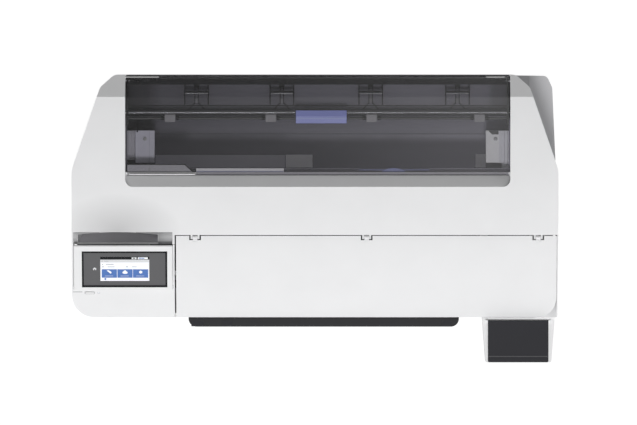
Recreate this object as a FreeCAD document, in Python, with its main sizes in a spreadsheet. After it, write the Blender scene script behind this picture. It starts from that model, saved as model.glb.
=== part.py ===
import FreeCAD, Part
import Sketcher
import math
import os
import re

# Desktop dye sublimation printer for 24 inch rolls, in millimetres.
# X runs to the right, Y to the rear, Z up, origin under the middle of the whole footprint.

SIZES = {
    # Case
    "body_width": 970, "body_height": 230, "rear_y": 287.5, "front_y": -197, "wall": 3,
    "shoulder_y": 97, "corner_y": 262, "side_taper": 57, "rear_taper": 85, "front_corner": 44,
    "shoulder_round": 60, "rear_round": 20, "crest_y": 200, "top_radius": 913, "chamfer_top_y": 241.5,
    "chamfer_drop": 40, "seam_y": -32.5, "front_radius": 244.6, "front_slope": 11.5,
    "foot_height": 10, "foot_radius": 18, "foot_inset": 95, "foot_rear_y": 210, "foot_front_y": -140,
    "pan_inset": 8, "pan_thick": 2, "pan_rim": 14, "case_base": 12, "case_split": 118, "split_gap": 0.6,
    "stand_hole": 4, "stand_x": 330, "stand_y": 120, "cover_gap": 1.5,
    # Front cover and fascia
    "cover_reach": 150, "mouth_gap": 14,
    "cover_flange": 16, "rim_extra": 12, "hinge_radius": 3.5, "hinge_pin": 1.8, "hinge_back": 4.5,
    "hinge_drop": 3, "running": 0.05, "fit_gap": 0.3, "hinge_shift": 0.5, "hinge_inset": 37.5,
    # Roll cover
    "window_left_margin": 107, "window_right_margin": 96, "window_front": 86, "lip_y": 63.5, "ledge": 7,
    "window_gap": 2, "window_thick": 3, "window_front_drop": 27, "window_crest_drop": 1.5,
    "window_corner": 8, "arm_thick": 4, "roll_pivot_y": 275, "roll_pivot_drop": 39.5,
    "roll_pin": 2, "arm_front_y": 186,
    # Roll compartment
    "trough_y": 145, "trough_drop": 70, "trough_radius": 60, "trough_thick": 2, "holder_y": 112,
    "holder_depth": 64, "holder_rise": 18, "left_holder_inset": 20,
    "left_holder_width": 38, "right_holder_inset": 48, "right_holder_width": 31, "seat_radius": 14,
    # Sheet feeder
    "feeder_shaft_y": 212, "feeder_shaft_drop": 34, "feeder_shaft_radius": 3, "roller_shaft_y": 200.5,
    "roller_shaft_drop": 41, "roller_shaft_radius": 2.5, "small_roller": 5, "small_roller_width": 20,
    "plate_thick": 2, "plate_rear_y": 282, "plate_drop": 48, "bracket_width": 48, "bracket_y": 226,
    "bracket_depth": 40, "bracket_height": 16, "bracket_wall": 1.8, "bracket_first": -236,
    "bracket_second": -66, "bracket_third": 111, "bracket_fourth": 284, "roller_first": -289,
    "roller_second": -88, "roller_third": 113, "roller_fourth": 328, "lever_left": -38,
    "lever_width": 101, "lever_reach": 22,
    # Side frames
    "frame_left_gap": 24, "frame_right_gap": 47, "frame_thick": 2, "frame_front": -150, "frame_rear": 214,
    "frame_rise": 12, "frame_step": 70, "frame_front_top": 119,
    # Printing
    "platen_inset": 59, "platen_top": 80, "platen_depth": 154, "platen_front": -110,
    "rail_y": 24, "rail_depth": 30, "rail_low": 104, "rail_height": 46,
    "rail_wall": 2, "carriage_home": 90, "carriage_width": 82, "carriage_front": -60, "carriage_low": 96,
    "carriage_height": 56, "head_gap": 3, "head_inset": 14, "carriage_gap": 0.5,
    "feed_y": 62, "feed_z": 73.5, "feed_radius": 12, "shaft_radius": 5, "pinch_radius": 6,
    "nip_gap": 0.3, "pinch_width": 60, "eject_y": -130, "eject_radius": 8, "eject_z": 70,
    "gear_module": 1, "feed_teeth": 60, "pinion_teeth": 15, "gear_width": 6,
    "gear_clearance": 0.35, "motor_radius": 21, "motor_length": 30, "belt_motor_radius": 15,
    "motor_shaft": 2.5,
    "belt_y": 14, "belt_z": 132, "pulley_radius": 8, "belt_thick": 1.4, "belt_width": 6,
    "idler_inset": 15, "drive_inset": 22, "cutter_y": -104, "cutter_z": 84, "cutter_width": 30,
    "cutter_rail_z": 110,
    # Control panel
    "panel_side_gap": 1, "panel_width": 197, "panel_front": -142.5, "panel_front_drop": 77,
    "panel_length": 103, "panel_tilt": 29, "panel_thick": 20, "panel_edge": 4, "pivot_depth": 6,
    "panel_pin": 2, "glass_thick": 1.6, "glass_left": 16,
    "glass_width": 170.5, "glass_front": 6.5, "glass_length": 82, "display_left": 53,
    "display_width": 97.5, "display_front": 21.5, "display_length": 55, "pocket_drop": 72, "pocket_y": -26.5,
    "pocket_left": 8, "pocket_width": 160, "pocket_arc": 600, "step_back": 14.5, "step_rise": 30,
    "lip_corner": 15, "button_width": 21, "button_depth": 6, "button_shift": 31.5,
    "button_y": -147.5, "lamp_shift": 49, "lamp_radius": 2.2,
    # Output guide and ink box
    "guide_shift": 141, "guide_left_inset": 24, "guide_right_inset": 194, "guide_front": -216,
    "guide_round": 16,
    "ink_reach": 148, "ink_inset": 2, "ink_rear": -197.3, "ink_front": -287.5, "ink_taper": 7,
    "ink_base": 10, "ink_drop": 4, "ink_wall": 3, "lid_left_inset": 12, "lid_right_inset": 13,
    "lid_rear": -203, "lid_thick": 4, "lid_pin": 1.2, "tank_width": 26, "tank_gap": 2,
    "tank_drop": 31, "tank_neck_y": 32,
    "cap_radius": 9, "cap_height": 10,
    # Rear housing and electrics
    "housing_inset": 4, "housing_rear_inset": 11, "housing_drop": 80, "drawer_inset": 105,
    "drawer_width": 56, "drawer_front": 120, "drawer_low": 24.3, "drawer_height": 62,
    "rear_window_left": -300, "rear_window_right": 330, "rear_window_low": 34,
    "rear_window_high": 104, "inlet_x": -220, "inlet_z": 66, "inlet_width": 48, "inlet_height": 28,
    "port_x": -120, "port_width": 16, "port_height": 14, "port_pitch": 26, "screw_head": 4,
    "board_left": -290, "board_right": -90, "board_front": 130, "board_rear": 250, "board_gap": 10,
    "board_thick": 2, "supply_left": -40, "supply_right": 160, "supply_front": 120,
    "supply_rear": 260, "supply_height": 52,
}

# Sizes that follow from the others
FOLLOWING = {
    "panel_left": "wall + panel_side_gap - body_width / 2",
    "fascia_right": "panel_left + panel_width + wall + panel_side_gap",
    "cover_left": "fascia_right + wall",
    "cover_right": "body_width / 2 - wall",
    "foot_x": "body_width / 2 - foot_inset",
    "middle_hinge_x": "(cover_left + cover_right) / 2 + hinge_shift",
    "outer_hinge": "(cover_right - cover_left) / 2 - hinge_inset",
    "window_left": "window_left_margin - body_width / 2",
    "window_right": "body_width / 2 - window_right_margin",
    "left_holder_x": "window_left + left_holder_inset",
    "right_holder_x": "window_right - right_holder_inset",
    "frame_left": "window_left - frame_left_gap",
    "frame_right": "window_right + frame_right_gap",
    "platen_half": "window_right - platen_inset",
    "carriage_x": "frame_right - carriage_home",
    "belt_left": "frame_left + idler_inset",
    "belt_right": "frame_right - drive_inset",
    "guide_middle": "window_left + guide_shift",
    "guide_left": "cover_left + guide_left_inset",
    "guide_right": "cover_right - guide_right_inset",
    "ink_left": "cover_right - ink_reach",
    "ink_right": "cover_right - ink_inset",
    "lid_left": "ink_left + lid_left_inset",
    "lid_right": "ink_right - lid_right_inset",
    "housing_low_width": "body_width / 2 - housing_inset",
    "housing_rear_x": "body_width / 2 - housing_rear_inset",
    "drawer_left": "body_width / 2 - drawer_inset",
    "button_x": "panel_left + button_shift",
    "lamp_x": "panel_left + lamp_shift",
    "chamfer_low_z": "body_height - chamfer_drop",
    "window_front_z": "body_height - window_front_drop",
    "window_crest_z": "body_height - window_crest_drop",
    "roll_pivot_z": "body_height - roll_pivot_drop",
    "pocket_low": "body_height - pocket_drop",
    "panel_front_z": "body_height - panel_front_drop",
    "cover_low": "body_height - cover_reach",
    "feeder_shaft_z": "body_height - feeder_shaft_drop",
    "roller_shaft_z": "body_height - roller_shaft_drop",
    "plate_z": "body_height - plate_drop",
    "trough_z": "body_height - trough_drop",
    "holder_top": "trough_z + holder_rise",
    "frame_top": "trough_z + frame_rise",
    "housing_top": "body_height - housing_drop",
    "ink_top": "cover_low - ink_drop",
    "tank_height": "ink_top - tank_drop",
}

document = FreeCAD.newDocument("printer")
sheet = document.addObject("Spreadsheet::Sheet", "Sizes")
CELLS = {**SIZES, **{alias: f"={text}" for alias, text in FOLLOWING.items()}}
for row, (alias, content) in enumerate(CELLS.items(), 1):
    sheet.set(f"A{row}", alias.replace("_", " "))
    sheet.set(f"B{row}", str(content))
    sheet.setAlias(f"B{row}", alias)
document.recompute()

NODES = []
QUARTER_TURNS = {
    "X": FreeCAD.Rotation(FreeCAD.Vector(0, 1, 0), 90),
    "Y": FreeCAD.Rotation(FreeCAD.Vector(1, 0, 0), -90),
    "Z": FreeCAD.Rotation(),
}


def formula(text):
    """Point each size name in a formula at its cell in the sheet."""
    return re.sub(r"[a-z_]+", lambda word: f"Sizes.{word[0]}" if word[0] in CELLS else word[0], str(text))


def size(alias):
    return float(sheet.get(alias))


def bind(item, prop, text):
    item.setExpression(prop, formula(text))


def place(item, x, y, z):
    for letter, text in zip("xyz", (x, y, z)):
        bind(item, f"Placement.Base.{letter}", text)


def block(name, x, y, z, width, depth, height):
    """A box from its low corner."""
    item = document.addObject("Part::Box", name)
    bind(item, "Length", width)
    bind(item, "Width", depth)
    bind(item, "Height", height)
    place(item, x, y, z)
    return item


def span(name, x_low, x_high, y_low, y_high, z_low, z_high):
    """A box between two limits on each axis."""
    return block(name, x_low, y_low, z_low, f"({x_high}) - ({x_low})", f"({y_high}) - ({y_low})",
                 f"({z_high}) - ({z_low})")


def rod(name, along, radius, length, x, y, z):
    """A cylinder that starts at a point and runs along one axis."""
    item = document.addObject("Part::Cylinder", name)
    bind(item, "Radius", radius)
    bind(item, "Height", length)
    item.Placement = FreeCAD.Placement(FreeCAD.Vector(), QUARTER_TURNS[along])
    place(item, x, y, z)
    return item


def fuse(name, *parts):
    item = document.addObject("Part::MultiFuse", name)
    item.Shapes = list(parts)
    return item


def cut(name, base, *tools):
    item = document.addObject("Part::Cut", name)
    item.Base = base
    item.Tool = tools[0] if len(tools) == 1 else fuse(name + "_tools", *tools)
    return item


def common(name, first, second):
    item = document.addObject("Part::Common", name)
    item.Base = first
    item.Tool = second
    return item


def group(name, *parts):
    """Separate solids that share one node."""
    item = document.addObject("Part::Compound", name)
    item.Links = list(parts)
    return item


def node(label, item):
    item.Label = label
    NODES.append(item)
    return item


def prism(name, plane, points, low, high, rounds=()):
    """A padded outline. Each round is a radius and the numbers of the corners that have it."""
    body = document.addObject("PartDesign::Body", name)
    sketch = body.newObject("Sketcher::SketchObject", name + "_outline")
    origin_plane = [item for item in body.Origin.OriginFeatures if item.Role == plane + "_Plane"][0]
    sketch.AttachmentSupport = [(origin_plane, "")]
    sketch.MapMode = "FlatFace"
    count = len(points)
    start = [FreeCAD.Vector(value_of(x), value_of(y), 0) for x, y in points]
    for number in range(count):
        sketch.addGeometry(Part.LineSegment(start[number], start[(number + 1) % count]), False)
    for number in range(count):
        following = (number + 1) % count
        sketch.addConstraint(Sketcher.Constraint("Coincident", number, 2, following, 1))
    for number, point in enumerate(points):
        for kind, text, value in zip(("DistanceX", "DistanceY"), point, start[number]):
            rule = sketch.addConstraint(Sketcher.Constraint(kind, -1, 1, number, 1, value))
            sketch.setExpression(f"Constraints[{rule}]", formula(text))
    direction = "-1 * " if plane == "XZ" else ""
    bind(sketch, "AttachmentOffset.Base.z", f"{direction}({low})")
    pad = body.newObject("PartDesign::Pad", name + "_pad")
    pad.Profile = sketch
    pad.Reversed = plane == "XZ"
    bind(pad, "Length", f"({high}) - ({low})")
    last = pad
    for radius, corners in rounds:
        document.recompute()
        edges = [edge_at(last.Shape, plane, start[corner]) for corner in corners]
        bend = body.newObject("PartDesign::Fillet", name + "_round")
        bend.Base = (last, edges)
        bind(bend, "Radius", radius)
        last = bend
    body.Tip = last
    return body


def value_of(text):
    """The number that a formula has now."""
    probe = document.getObject("Probe") or document.addObject("Part::Box", "Probe")
    return float(probe.evalExpression(formula(text)))


def edge_at(shape, plane, corner):
    """The name of the straight edge that stands on a corner of the outline."""
    axes = {"XY": "xy", "YZ": "yz", "XZ": "xz"}[plane]
    for number, edge in enumerate(shape.Edges, 1):
        ends = [(getattr(tip.Point, axes[0]), getattr(tip.Point, axes[1])) for tip in edge.Vertexes]
        if len(ends) == 2 and all(math.dist(end, (corner.x, corner.y)) < 0.01 for end in ends):
            return f"Edge{number}"
    raise ValueError(f"no edge stands on {corner}")


# Heights and centres that follow from the sizes
TOP_AXIS_Z = "(body_height - top_radius)"
SEAM_Z = f"({TOP_AXIS_Z} + sqrt(top_radius ^ 2 - (crest_y - seam_y) ^ 2))"
LIP_Z = f"({TOP_AXIS_Z} + sqrt(top_radius ^ 2 - (crest_y - lip_y) ^ 2))"
ARC_Y = "(seam_y + front_radius * sin(front_slope))"
ARC_Z = f"({SEAM_Z} - front_radius * cos(front_slope))"
HALF = "(body_width / 2)"
FAR = "(body_width + 100)"
PANEL_REAR = "(panel_front + panel_length * cos(panel_tilt) + cover_gap)"
PANEL_UNDER = "(panel_length - panel_thick * tan(panel_tilt))"
HINGE_Y = "(seam_y - hinge_back)"
HINGE_Z = f"({SEAM_Z} - hinge_drop)"


def plan(name, inset, low, high):
    """The footprint of the case, narrower towards the rear, drawn in by an inset."""
    half = f"(body_width / 2 - {inset})"
    right = [(half, f"front_y + {inset}"), (half, "shoulder_y"),
             (f"{half} - side_taper", "corner_y"), (f"{half} - rear_taper", f"rear_y - {inset}")]
    left = [(f"-({x})", y) for x, y in reversed(right)]
    rounds = [(f"front_corner - {inset}", [7]), ("shoulder_round", [1, 6]), ("rear_round", [2, 3, 4, 5])]
    return prism(name, "XY", right + left, low, high, rounds)


def case_form(name, inset, low):
    """The whole outside of the case: a crowned top, a sloped rear edge and a rounded front."""
    rear = prism(name + "_rear", "YZ", [
        ("seam_y", low), (f"rear_y - {inset}", low), (f"rear_y - {inset}",
                                                      f"chamfer_low_z - 0.46 * {inset}"),
        (f"chamfer_top_y - 0.37 * {inset}", f"body_height - {inset}"), ("seam_y", f"body_height - {inset}"),
    ], f"-{FAR} / 2", f"{FAR} / 2")
    crown = rod(name + "_crown", "X", f"top_radius - {inset}", FAR, f"-{FAR} / 2", "crest_y", TOP_AXIS_Z)
    bow = rod(name + "_bow", "X", f"front_radius - {inset}", FAR, f"-{FAR} / 2", ARC_Y, ARC_Z)
    ahead = span(name + "_ahead", f"-{FAR} / 2", f"{FAR} / 2", "front_y - 20", "seam_y", low, "body_height")
    profile = fuse(name + "_profile", common(name + "_roof", rear, crown), common(name + "_front",
                                                                                  ahead, bow))
    return common(name, profile, plan(name + "_plan", inset, low, "body_height"))


case_outside = case_form("case_outside", 0, "case_base")
case_inside = case_form("case_inside", "wall", 0)
case_walls = cut("case_walls", case_outside, case_inside)


def tilted(item, x, y, z, angle):
    """Seat a piece on a slope that rises towards the rear."""
    item.Placement = FreeCAD.Placement(FreeCAD.Vector(), FreeCAD.Rotation(FreeCAD.Vector(1, 0, 0), 10))
    bind(item, "Placement.Rotation.Angle", angle)
    place(item, x, y, z)
    return item


def hinge_stations():
    """The middle of each of the three front cover hinges, along X."""
    return ["middle_hinge_x - outer_hinge", "middle_hinge_x", "middle_hinge_x + outer_hinge"]


# Base
pan_outer = plan("pan_outer", "pan_inset", "foot_height", "foot_height + pan_rim")
pan_inner = plan("pan_inner", "pan_inset + pan_thick", "foot_height + pan_thick",
                 "foot_height + pan_rim + 1")
stand_holes = [rod("stand_hole", "Z", "stand_hole", 60, f"{x} * stand_x", f"{y} * stand_y", -20)
               for x in (-1, 1) for y in (-1, 1)]
node("base_pan", cut("pan", pan_outer, pan_inner, *stand_holes))
feet = []
for side in (-1, 1):
    for y in ("foot_front_y", "foot_rear_y"):
        feet.append(rod("foot", "Z", "foot_radius", "foot_height", f"{side} * foot_x", y, 0))
node("feet", group("feet_group", *feet))

# Lower case, open at the front for the cover and at the rear for the rear panel
below_split = span("below_split", f"-{FAR}", FAR, -400, 400, "case_base", "case_split - split_gap")
front_left = span("front_left", f"-{FAR}", "fascia_right + split_gap", -400, PANEL_REAR, 0, 400)
front_mouth = span("front_mouth", "fascia_right", "cover_right + split_gap", -400, "seam_y",
                   "cover_low - mouth_gap", 400)
rear_window = span("rear_window", "rear_window_left", "rear_window_right", "rear_y - 20", "rear_y + 20",
                   "rear_window_low", "rear_window_high")
drawer_bay = span("drawer_bay", "drawer_left - 1", "drawer_left + drawer_width + 1", "drawer_front", 400,
                  "drawer_low - 1", "drawer_low + drawer_height + 1")
lower_ring = common("lower_ring", case_walls, below_split)
MOUTH_LOW = "(cover_low - mouth_gap)"
SHELF_TOP = "(cover_low - split_gap)"
shelf_top = span("shelf_top", "cover_right - front_corner", HALF, "front_y", "front_y + front_corner",
                 f"{SHELF_TOP} - wall", SHELF_TOP)
shelf_front = span("shelf_front", "cover_right - front_corner", HALF, "front_y", "front_y + wall",
                   f"{MOUTH_LOW} - wall", SHELF_TOP)
corner_shelf = common("corner_shelf", fuse("shelf_blank", shelf_top, shelf_front), case_outside)
opened_ring = cut("opened_ring", lower_ring, front_left, front_mouth, rear_window, drawer_bay)
node("lower_case", fuse("lower_case_body", opened_ring, corner_shelf))
inlet_hole = span("inlet_hole", "inlet_x", "inlet_x + inlet_width", 200, 400, "inlet_z",
                  "inlet_z + inlet_height")
port_holes = [block("port_hole", f"port_x + {number} * port_pitch", 200, "inlet_z", "port_width", 200,
                    "port_height") for number in range(2)]
panel_plate = span("panel_plate", "rear_window_left - 12", "rear_window_right + 12",
                   "rear_y - wall - pan_thick",
                   "rear_y - wall", "rear_window_low - 10", "rear_window_high + 10")
node("rear_panel", cut("rear_panel_body", panel_plate, inlet_hole, *port_holes))
inlet_flange = span("inlet_flange", "inlet_x - 5", "inlet_x + inlet_width + 5", "rear_y - wall",
                    "rear_y - wall + 1.5", "inlet_z - 4", "inlet_z + inlet_height + 4")
inlet_body = span("inlet_body", "inlet_x", "inlet_x + inlet_width", "rear_y - wall - 26",
                  "rear_y - wall + 1",
                  "inlet_z", "inlet_z + inlet_height")
inlet_well = span("inlet_well", "inlet_x + 10", "inlet_x + inlet_width - 10", "rear_y - wall - 20", 400,
                  "inlet_z + 5", "inlet_z + inlet_height - 5")
inlet_blades = [block("inlet_blade", f"inlet_x + inlet_width / 2 + {x}", "rear_y - wall - 21",
                      "inlet_z + 12",
                      2, 14, 5) for x in (-9, -1, 7)]
node("mains_inlet", fuse("inlet", cut("inlet_shell", fuse("inlet_blank", inlet_flange, inlet_body),
                                      inlet_well),
                         *inlet_blades))
ports = []
for number in range(2):
    x = f"port_x + {number} * port_pitch"
    can = block("port_can", x, "rear_y - wall - 18", "inlet_z", "port_width", 18, "port_height")
    mouth = block("port_mouth", f"{x} + 2", "rear_y - wall - 14", "inlet_z + 2", "port_width - 4", 40,
                  "port_height - 4")
    ports.append(cut("port", can, mouth))
node("data_ports", group("ports", *ports))

# Top shell with the roll opening, its side cheeks, its sloped lip and the finger recess
above_split = span("above_split", f"-{FAR}", FAR, -400, 400, "case_split", 400)
window_hole = prism("window_hole", "XY", [
    ("window_left", "lip_y"), ("window_right", "lip_y"), ("window_right", "rear_y - wall"),
    ("window_left", "rear_y - wall")], "roll_pivot_z - 30", 400, [("lip_corner", [0, 1])])
cover_space = span("cover_space", "fascia_right", "cover_right + split_gap", -400, "seam_y", 0, 400)
# Finger pocket between the top and the panel, with a bowed rear edge and a step at its right
POCKET_LEFT = "(panel_left + pocket_left)"
POCKET_RIGHT = f"({POCKET_LEFT} + pocket_width)"
STEP_REAR = "(pocket_y - step_back)"
STEP_LEFT = f"(wall - {HALF})"
STEP_RIGHT = "(panel_left + panel_width)"
STEP_LOW = "(pocket_low + step_rise)"


def step_form(name, left, right, front, grow):
    """A level floor that curves up towards the rear, over the whole width of the panel."""
    floor = span(name + "_floor", left, right, front, STEP_REAR, f"{STEP_LOW} - {grow}", 400)
    curve = rod(name + "_curve", "X", f"step_back + {grow}", f"{right} - {left}", left, STEP_REAR,
                f"{STEP_LOW} + step_back")
    behind = span(name + "_behind", left, right, front, 400, 0, 400)
    return common(name, fuse(name + "_blank", floor, curve), behind)


pocket_tub = span("pocket_tub", f"{POCKET_LEFT} - wall", f"{POCKET_RIGHT} + wall",
                  f"{PANEL_REAR} + split_gap", "pocket_y + wall", "pocket_low - wall", 400)
step_tub = step_form("step_tub", f"-{HALF}", f"({STEP_RIGHT} + wall)", f"{PANEL_REAR} + split_gap", "wall")
pocket_blank = common("pocket_blank", fuse("pocket_tubs", pocket_tub, step_tub), case_outside)
pocket_step = step_form("pocket_step", STEP_LEFT, STEP_RIGHT, -400, 0)
pocket_zone = span("pocket_zone", POCKET_LEFT, POCKET_RIGHT,
                   f"{PANEL_REAR} + split_gap + wall",
                   "pocket_y", "pocket_low", 400)
pocket_arc = rod("pocket_arc", "Z", "pocket_arc", 400, f"{POCKET_LEFT} + pocket_width / 2",
                 "pocket_y - pocket_arc", 0)
pocket_hollow = common("pocket_hollow", pocket_zone, pocket_arc)
cheeks = []
for x in ("window_left - wall", "window_right"):
    cheek = block("cheek", x, "lip_y", "roll_pivot_z - 12", "wall", "rear_y - lip_y", 60)
    cheeks.append(common("cheek_trim", cheek, case_outside))
LEDGE_Z = "(window_front_z - window_thick - fit_gap)"
lip = prism("lip", "YZ", [
    ("lip_y - wall", f"{LIP_Z} - 0.5"), ("lip_y", LIP_Z), ("window_front", LEDGE_Z),
    ("window_front + ledge", LEDGE_Z), ("window_front + ledge", f"{LEDGE_Z} - wall"),
    ("window_front - 1", f"{LEDGE_Z} - wall"), ("lip_y - wall", f"{LIP_Z} - 2 * wall"),
], "window_left - wall", "window_right + wall")
for low, high in (("window_left - wall", "window_left + lip_corner"),
                  ("window_right - lip_corner", "window_right + wall")):
    corner = cut("corner", span("corner_blank", low, high, "lip_y - wall", "lip_y + lip_corner",
                 f"{LEDGE_Z} - wall", 400), window_hole)
    cheeks.append(common("corner_trim", corner, case_outside))
ears = []
for x in hinge_stations():
    for side in (-1, 1):
        ears.append(block("ear", f"{x} + {side} * 7 - 2", "seam_y - 8", f"{SEAM_Z} - 7", 4, 13, 6.5))
shell_open = cut("shell_open", common("shell_upper", case_walls, above_split), window_hole, cover_space,
                 front_left)
pocketed = cut("pocketed", fuse("shell_with_pocket", shell_open, pocket_blank), pocket_hollow, pocket_step)
shell_blank = fuse("shell_blank", pocketed, lip, *cheeks, *ears)
front_pins = [rod("pin_hole", "X", "hinge_pin", 18, f"{x} - 9", HINGE_Y, HINGE_Z) for x in hinge_stations()]
node("top_shell", cut("shell", shell_blank, *front_pins))

# Front cover, hung on three knuckles in the seam
cover_zone = span("cover_zone", "cover_left", "cover_right", -400, "seam_y - cover_gap", "cover_low", 400)
cover_plan = prism("cover_plan", "XY", [("cover_left", "front_y - 1"), ("cover_right", "front_y - 1"),
                   ("cover_right", 0), ("cover_left", 0)], 0, 400, [("front_corner - 4", [1])])
cover_parts = [common("cover_skin", case_walls, cover_zone)]
for x in ("cover_left", "cover_right - wall"):
    end = common("cover_end", case_outside, span("cover_end_zone", x, f"{x} + wall", -400,
                                                 "seam_y - cover_gap",
                 "cover_low", 400))
    cover_parts.append(cut("cover_rim", end, rod("cover_hollow", "X", "front_radius - cover_flange", FAR,
                       f"-{FAR} / 2", ARC_Y, ARC_Z)))
cover_trim = common("cover_trim", fuse("cover_blank", *cover_parts), cover_plan)
notches = [span("notch", f"{x} - 11.5", f"{x} + 11.5", "seam_y - 10", "seam_y", 0, 400)
           for x in hinge_stations()]
cover_body = [cut("cover_notched", cover_trim, *notches)]
for x in hinge_stations():
    cover_body.append(rod("knuckle", "X", "hinge_radius", 9.4, f"{x} - 4.7", HINGE_Y, HINGE_Z))
    cover_body.append(block("web", f"{x} - 4.7", "seam_y - 14", f"{SEAM_Z} - 5.8", 9.4, 9.5, 3))
cover_bores = [rod("cover_bore", "X", "hinge_pin + running", 30, f"{x} - 15", HINGE_Y, HINGE_Z)
               for x in hinge_stations()]
node("front_cover", cut("cover_bored", fuse("cover_whole", *cover_body), *cover_bores))


# Control panel in its bay
def panel_point(y, z):
    """Where a point of the tilted panel lies, from its front edge and its top face."""
    return (f"(panel_front + ({y}) * cos(panel_tilt) - ({z}) * sin(panel_tilt))",
            f"(panel_front_z + ({y}) * sin(panel_tilt) + ({z}) * cos(panel_tilt))")


def on_panel(name, x, y, z, width, depth, height):
    item = block(name, 0, 0, 0, width, depth, height)
    return tilted(item, f"panel_left + ({x})", *panel_point(y, z), "panel_tilt")


PIVOT = panel_point("panel_edge", "-pivot_depth")
bay = on_panel("bay", -1, "-cover_gap", "-panel_thick - 2", "panel_width + 2", "panel_length + 20", 80)
bay_floor = on_panel("bay_floor", -1, 0, "-panel_thick - 4", "panel_width + 2", f"{PANEL_UNDER} - 4", 2)
fascia_rear = f"{PANEL_REAR} - split_gap"
fascia_zone = span("fascia_zone", f"-{FAR}", "fascia_right", -400, fascia_rear, "case_base", 400)
end_zone = span("end_zone", "fascia_right - wall", "fascia_right", -400, fascia_rear, "case_base", 400)
end_hollow = rod("end_hollow", "X", "front_radius - cover_flange - rim_extra", FAR, f"-{FAR} / 2",
                 ARC_Y, ARC_Z)
fascia_end = cut("fascia_end", common("end_plate", case_outside, end_zone), end_hollow)


def slope_piece(item, x, proud):
    """Seat a piece square on the rounded front, by the power button."""
    reach = f"({ARC_Y} - button_y)"
    lean = f"asin({reach} / front_radius)"
    y = f"(button_y - ({proud}) * {reach} / front_radius)"
    z = f"({ARC_Z} + (front_radius + ({proud})) * sqrt(1 - ({reach} / front_radius) ^ 2))"
    return tilted(item, x, y, z, lean)


def pill(name, gap, low, high):
    half = f"(button_width / 2 + {gap})"
    depth = f"(button_depth / 2 + {gap})"
    corners = [(f"-{half}", f"-{depth}"), (half, f"-{depth}"), (half, depth), (f"-{half}", depth)]
    return prism(name, "XY", corners, low, high, [(f"{depth} - 0.05", [0, 1, 2, 3])])


button_hole = slope_piece(pill("button_hole", "fit_gap", -8, 8), "button_x", 0)
lamp_hole = slope_piece(rod("lamp_hole", "Z", "lamp_radius", 12, 0, 0, 0), "lamp_x", -6)
fascia_skin = cut("fascia_skin", fuse("fascia_blank", common("fascia_walls", case_walls, fascia_zone),
                                      fascia_end),
                  bay, button_hole, lamp_hole)
node("front_left_fascia", fuse("fascia", fascia_skin, bay_floor))
node("power_button", slope_piece(pill("button_pill", 0, -4, 1), "button_x", 0))
node("status_lamp", slope_piece(rod("lamp", "Z", "lamp_radius", 4, 0, 0, 0), "lamp_x", -3.6))

housing = tilted(prism("housing", "YZ", [(0, "-panel_thick"), (PANEL_UNDER, "-panel_thick"),
                 ("panel_length", 0), (0, 0)], 0, "panel_width", [("panel_edge", [0]), (3, [1, 2]),
                                                                  (1.5, [3])]),
                 "panel_left", "panel_front", "panel_front_z", "panel_tilt")
glass_seat = on_panel("glass_seat", "glass_left", "glass_front", "-glass_thick", "glass_width",
                      "glass_length", 20)
display_seat = on_panel("display_seat", "display_left", "display_front", "-glass_thick - 3", "display_width",
                        "display_length", 20)
pin_bores = [rod("panel_bore", "X", "panel_pin + running", 9, x, *PIVOT)
             for x in ("panel_left", "panel_left + panel_width - 9")]
node("control_panel", cut("panel_body", housing, glass_seat, display_seat, *pin_bores))
node("panel_glass", on_panel("glass", "glass_left + 0.1", "glass_front + 0.1", "-glass_thick",
                             "glass_width - 0.2",
     "glass_length - 0.2", "glass_thick + 0.2"))
node("display", on_panel("screen", "display_left + 0.1", "display_front + 0.1", "-glass_thick - 3",
     "display_width - 0.2", "display_length - 0.2", 2.9))

# Smoked roll cover and the two arms that carry it
CHAMFER = "((body_height - chamfer_low_z) / (rear_y - chamfer_top_y))"
REAR_EDGE = "(rear_y - wall - window_gap)"
REAR_EDGE_Z = f"(chamfer_low_z + (wall + window_gap) * {CHAMFER})"
UNDER_SLOPE = "((window_crest_z - window_front_z) / (chamfer_top_y - window_front))"


def under_cover(y):
    return f"(window_front_z - window_thick - 2 * fit_gap + (({y}) - window_front - 1.5) * {UNDER_SLOPE})"


lens_profile = prism("lens_profile", "YZ", [
    (REAR_EDGE, REAR_EDGE_Z), ("chamfer_top_y + 1", "window_crest_z"), ("window_front + 1.5",
                                                                        "window_front_z"),
    ("window_front + 1.5", "window_front_z - window_thick"),
    ("chamfer_top_y - 0.5", "window_crest_z - window_thick - 0.4"),
    (f"{REAR_EDGE} - 4", f"{REAR_EDGE_Z} - 1"),
], "window_left + window_gap", "window_right - window_gap")
lens_plan = prism("lens_plan", "XY", [
    ("window_left + window_gap", "window_front + 1.5"), ("window_right - window_gap", "window_front + 1.5"),
    ("window_right - window_gap", 400), ("window_left + window_gap", 400)], 0, 400, [("window_corner",
                                                                                      [0, 1])])
node("roll_cover", common("lens", lens_profile, lens_plan))
arms = []
for x in ("window_left + window_gap + 0.5", "window_right - window_gap - 0.5 - arm_thick"):
    arm = prism("arm", "YZ", [
        ("arm_front_y", under_cover("arm_front_y")), ("chamfer_top_y - 1", under_cover("chamfer_top_y - 1")),
        (f"{REAR_EDGE} - 4.5", f"{REAR_EDGE_Z} - 1.6"), ("roll_pivot_y + 4", "roll_pivot_z - 4.5"),
        ("roll_pivot_y - 6", "roll_pivot_z - 4.5"), ("chamfer_top_y - 6", "roll_pivot_z + 10"),
        ("arm_front_y", "roll_pivot_z + 14")], x, f"{x} + arm_thick")
    arms.append(cut("arm_bored", arm, rod("arm_bore", "X", "roll_pin + running", 40, f"{x} - 20",
                    "roll_pivot_y", "roll_pivot_z")))
node("roll_cover_arms", group("arms", *arms))

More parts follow.
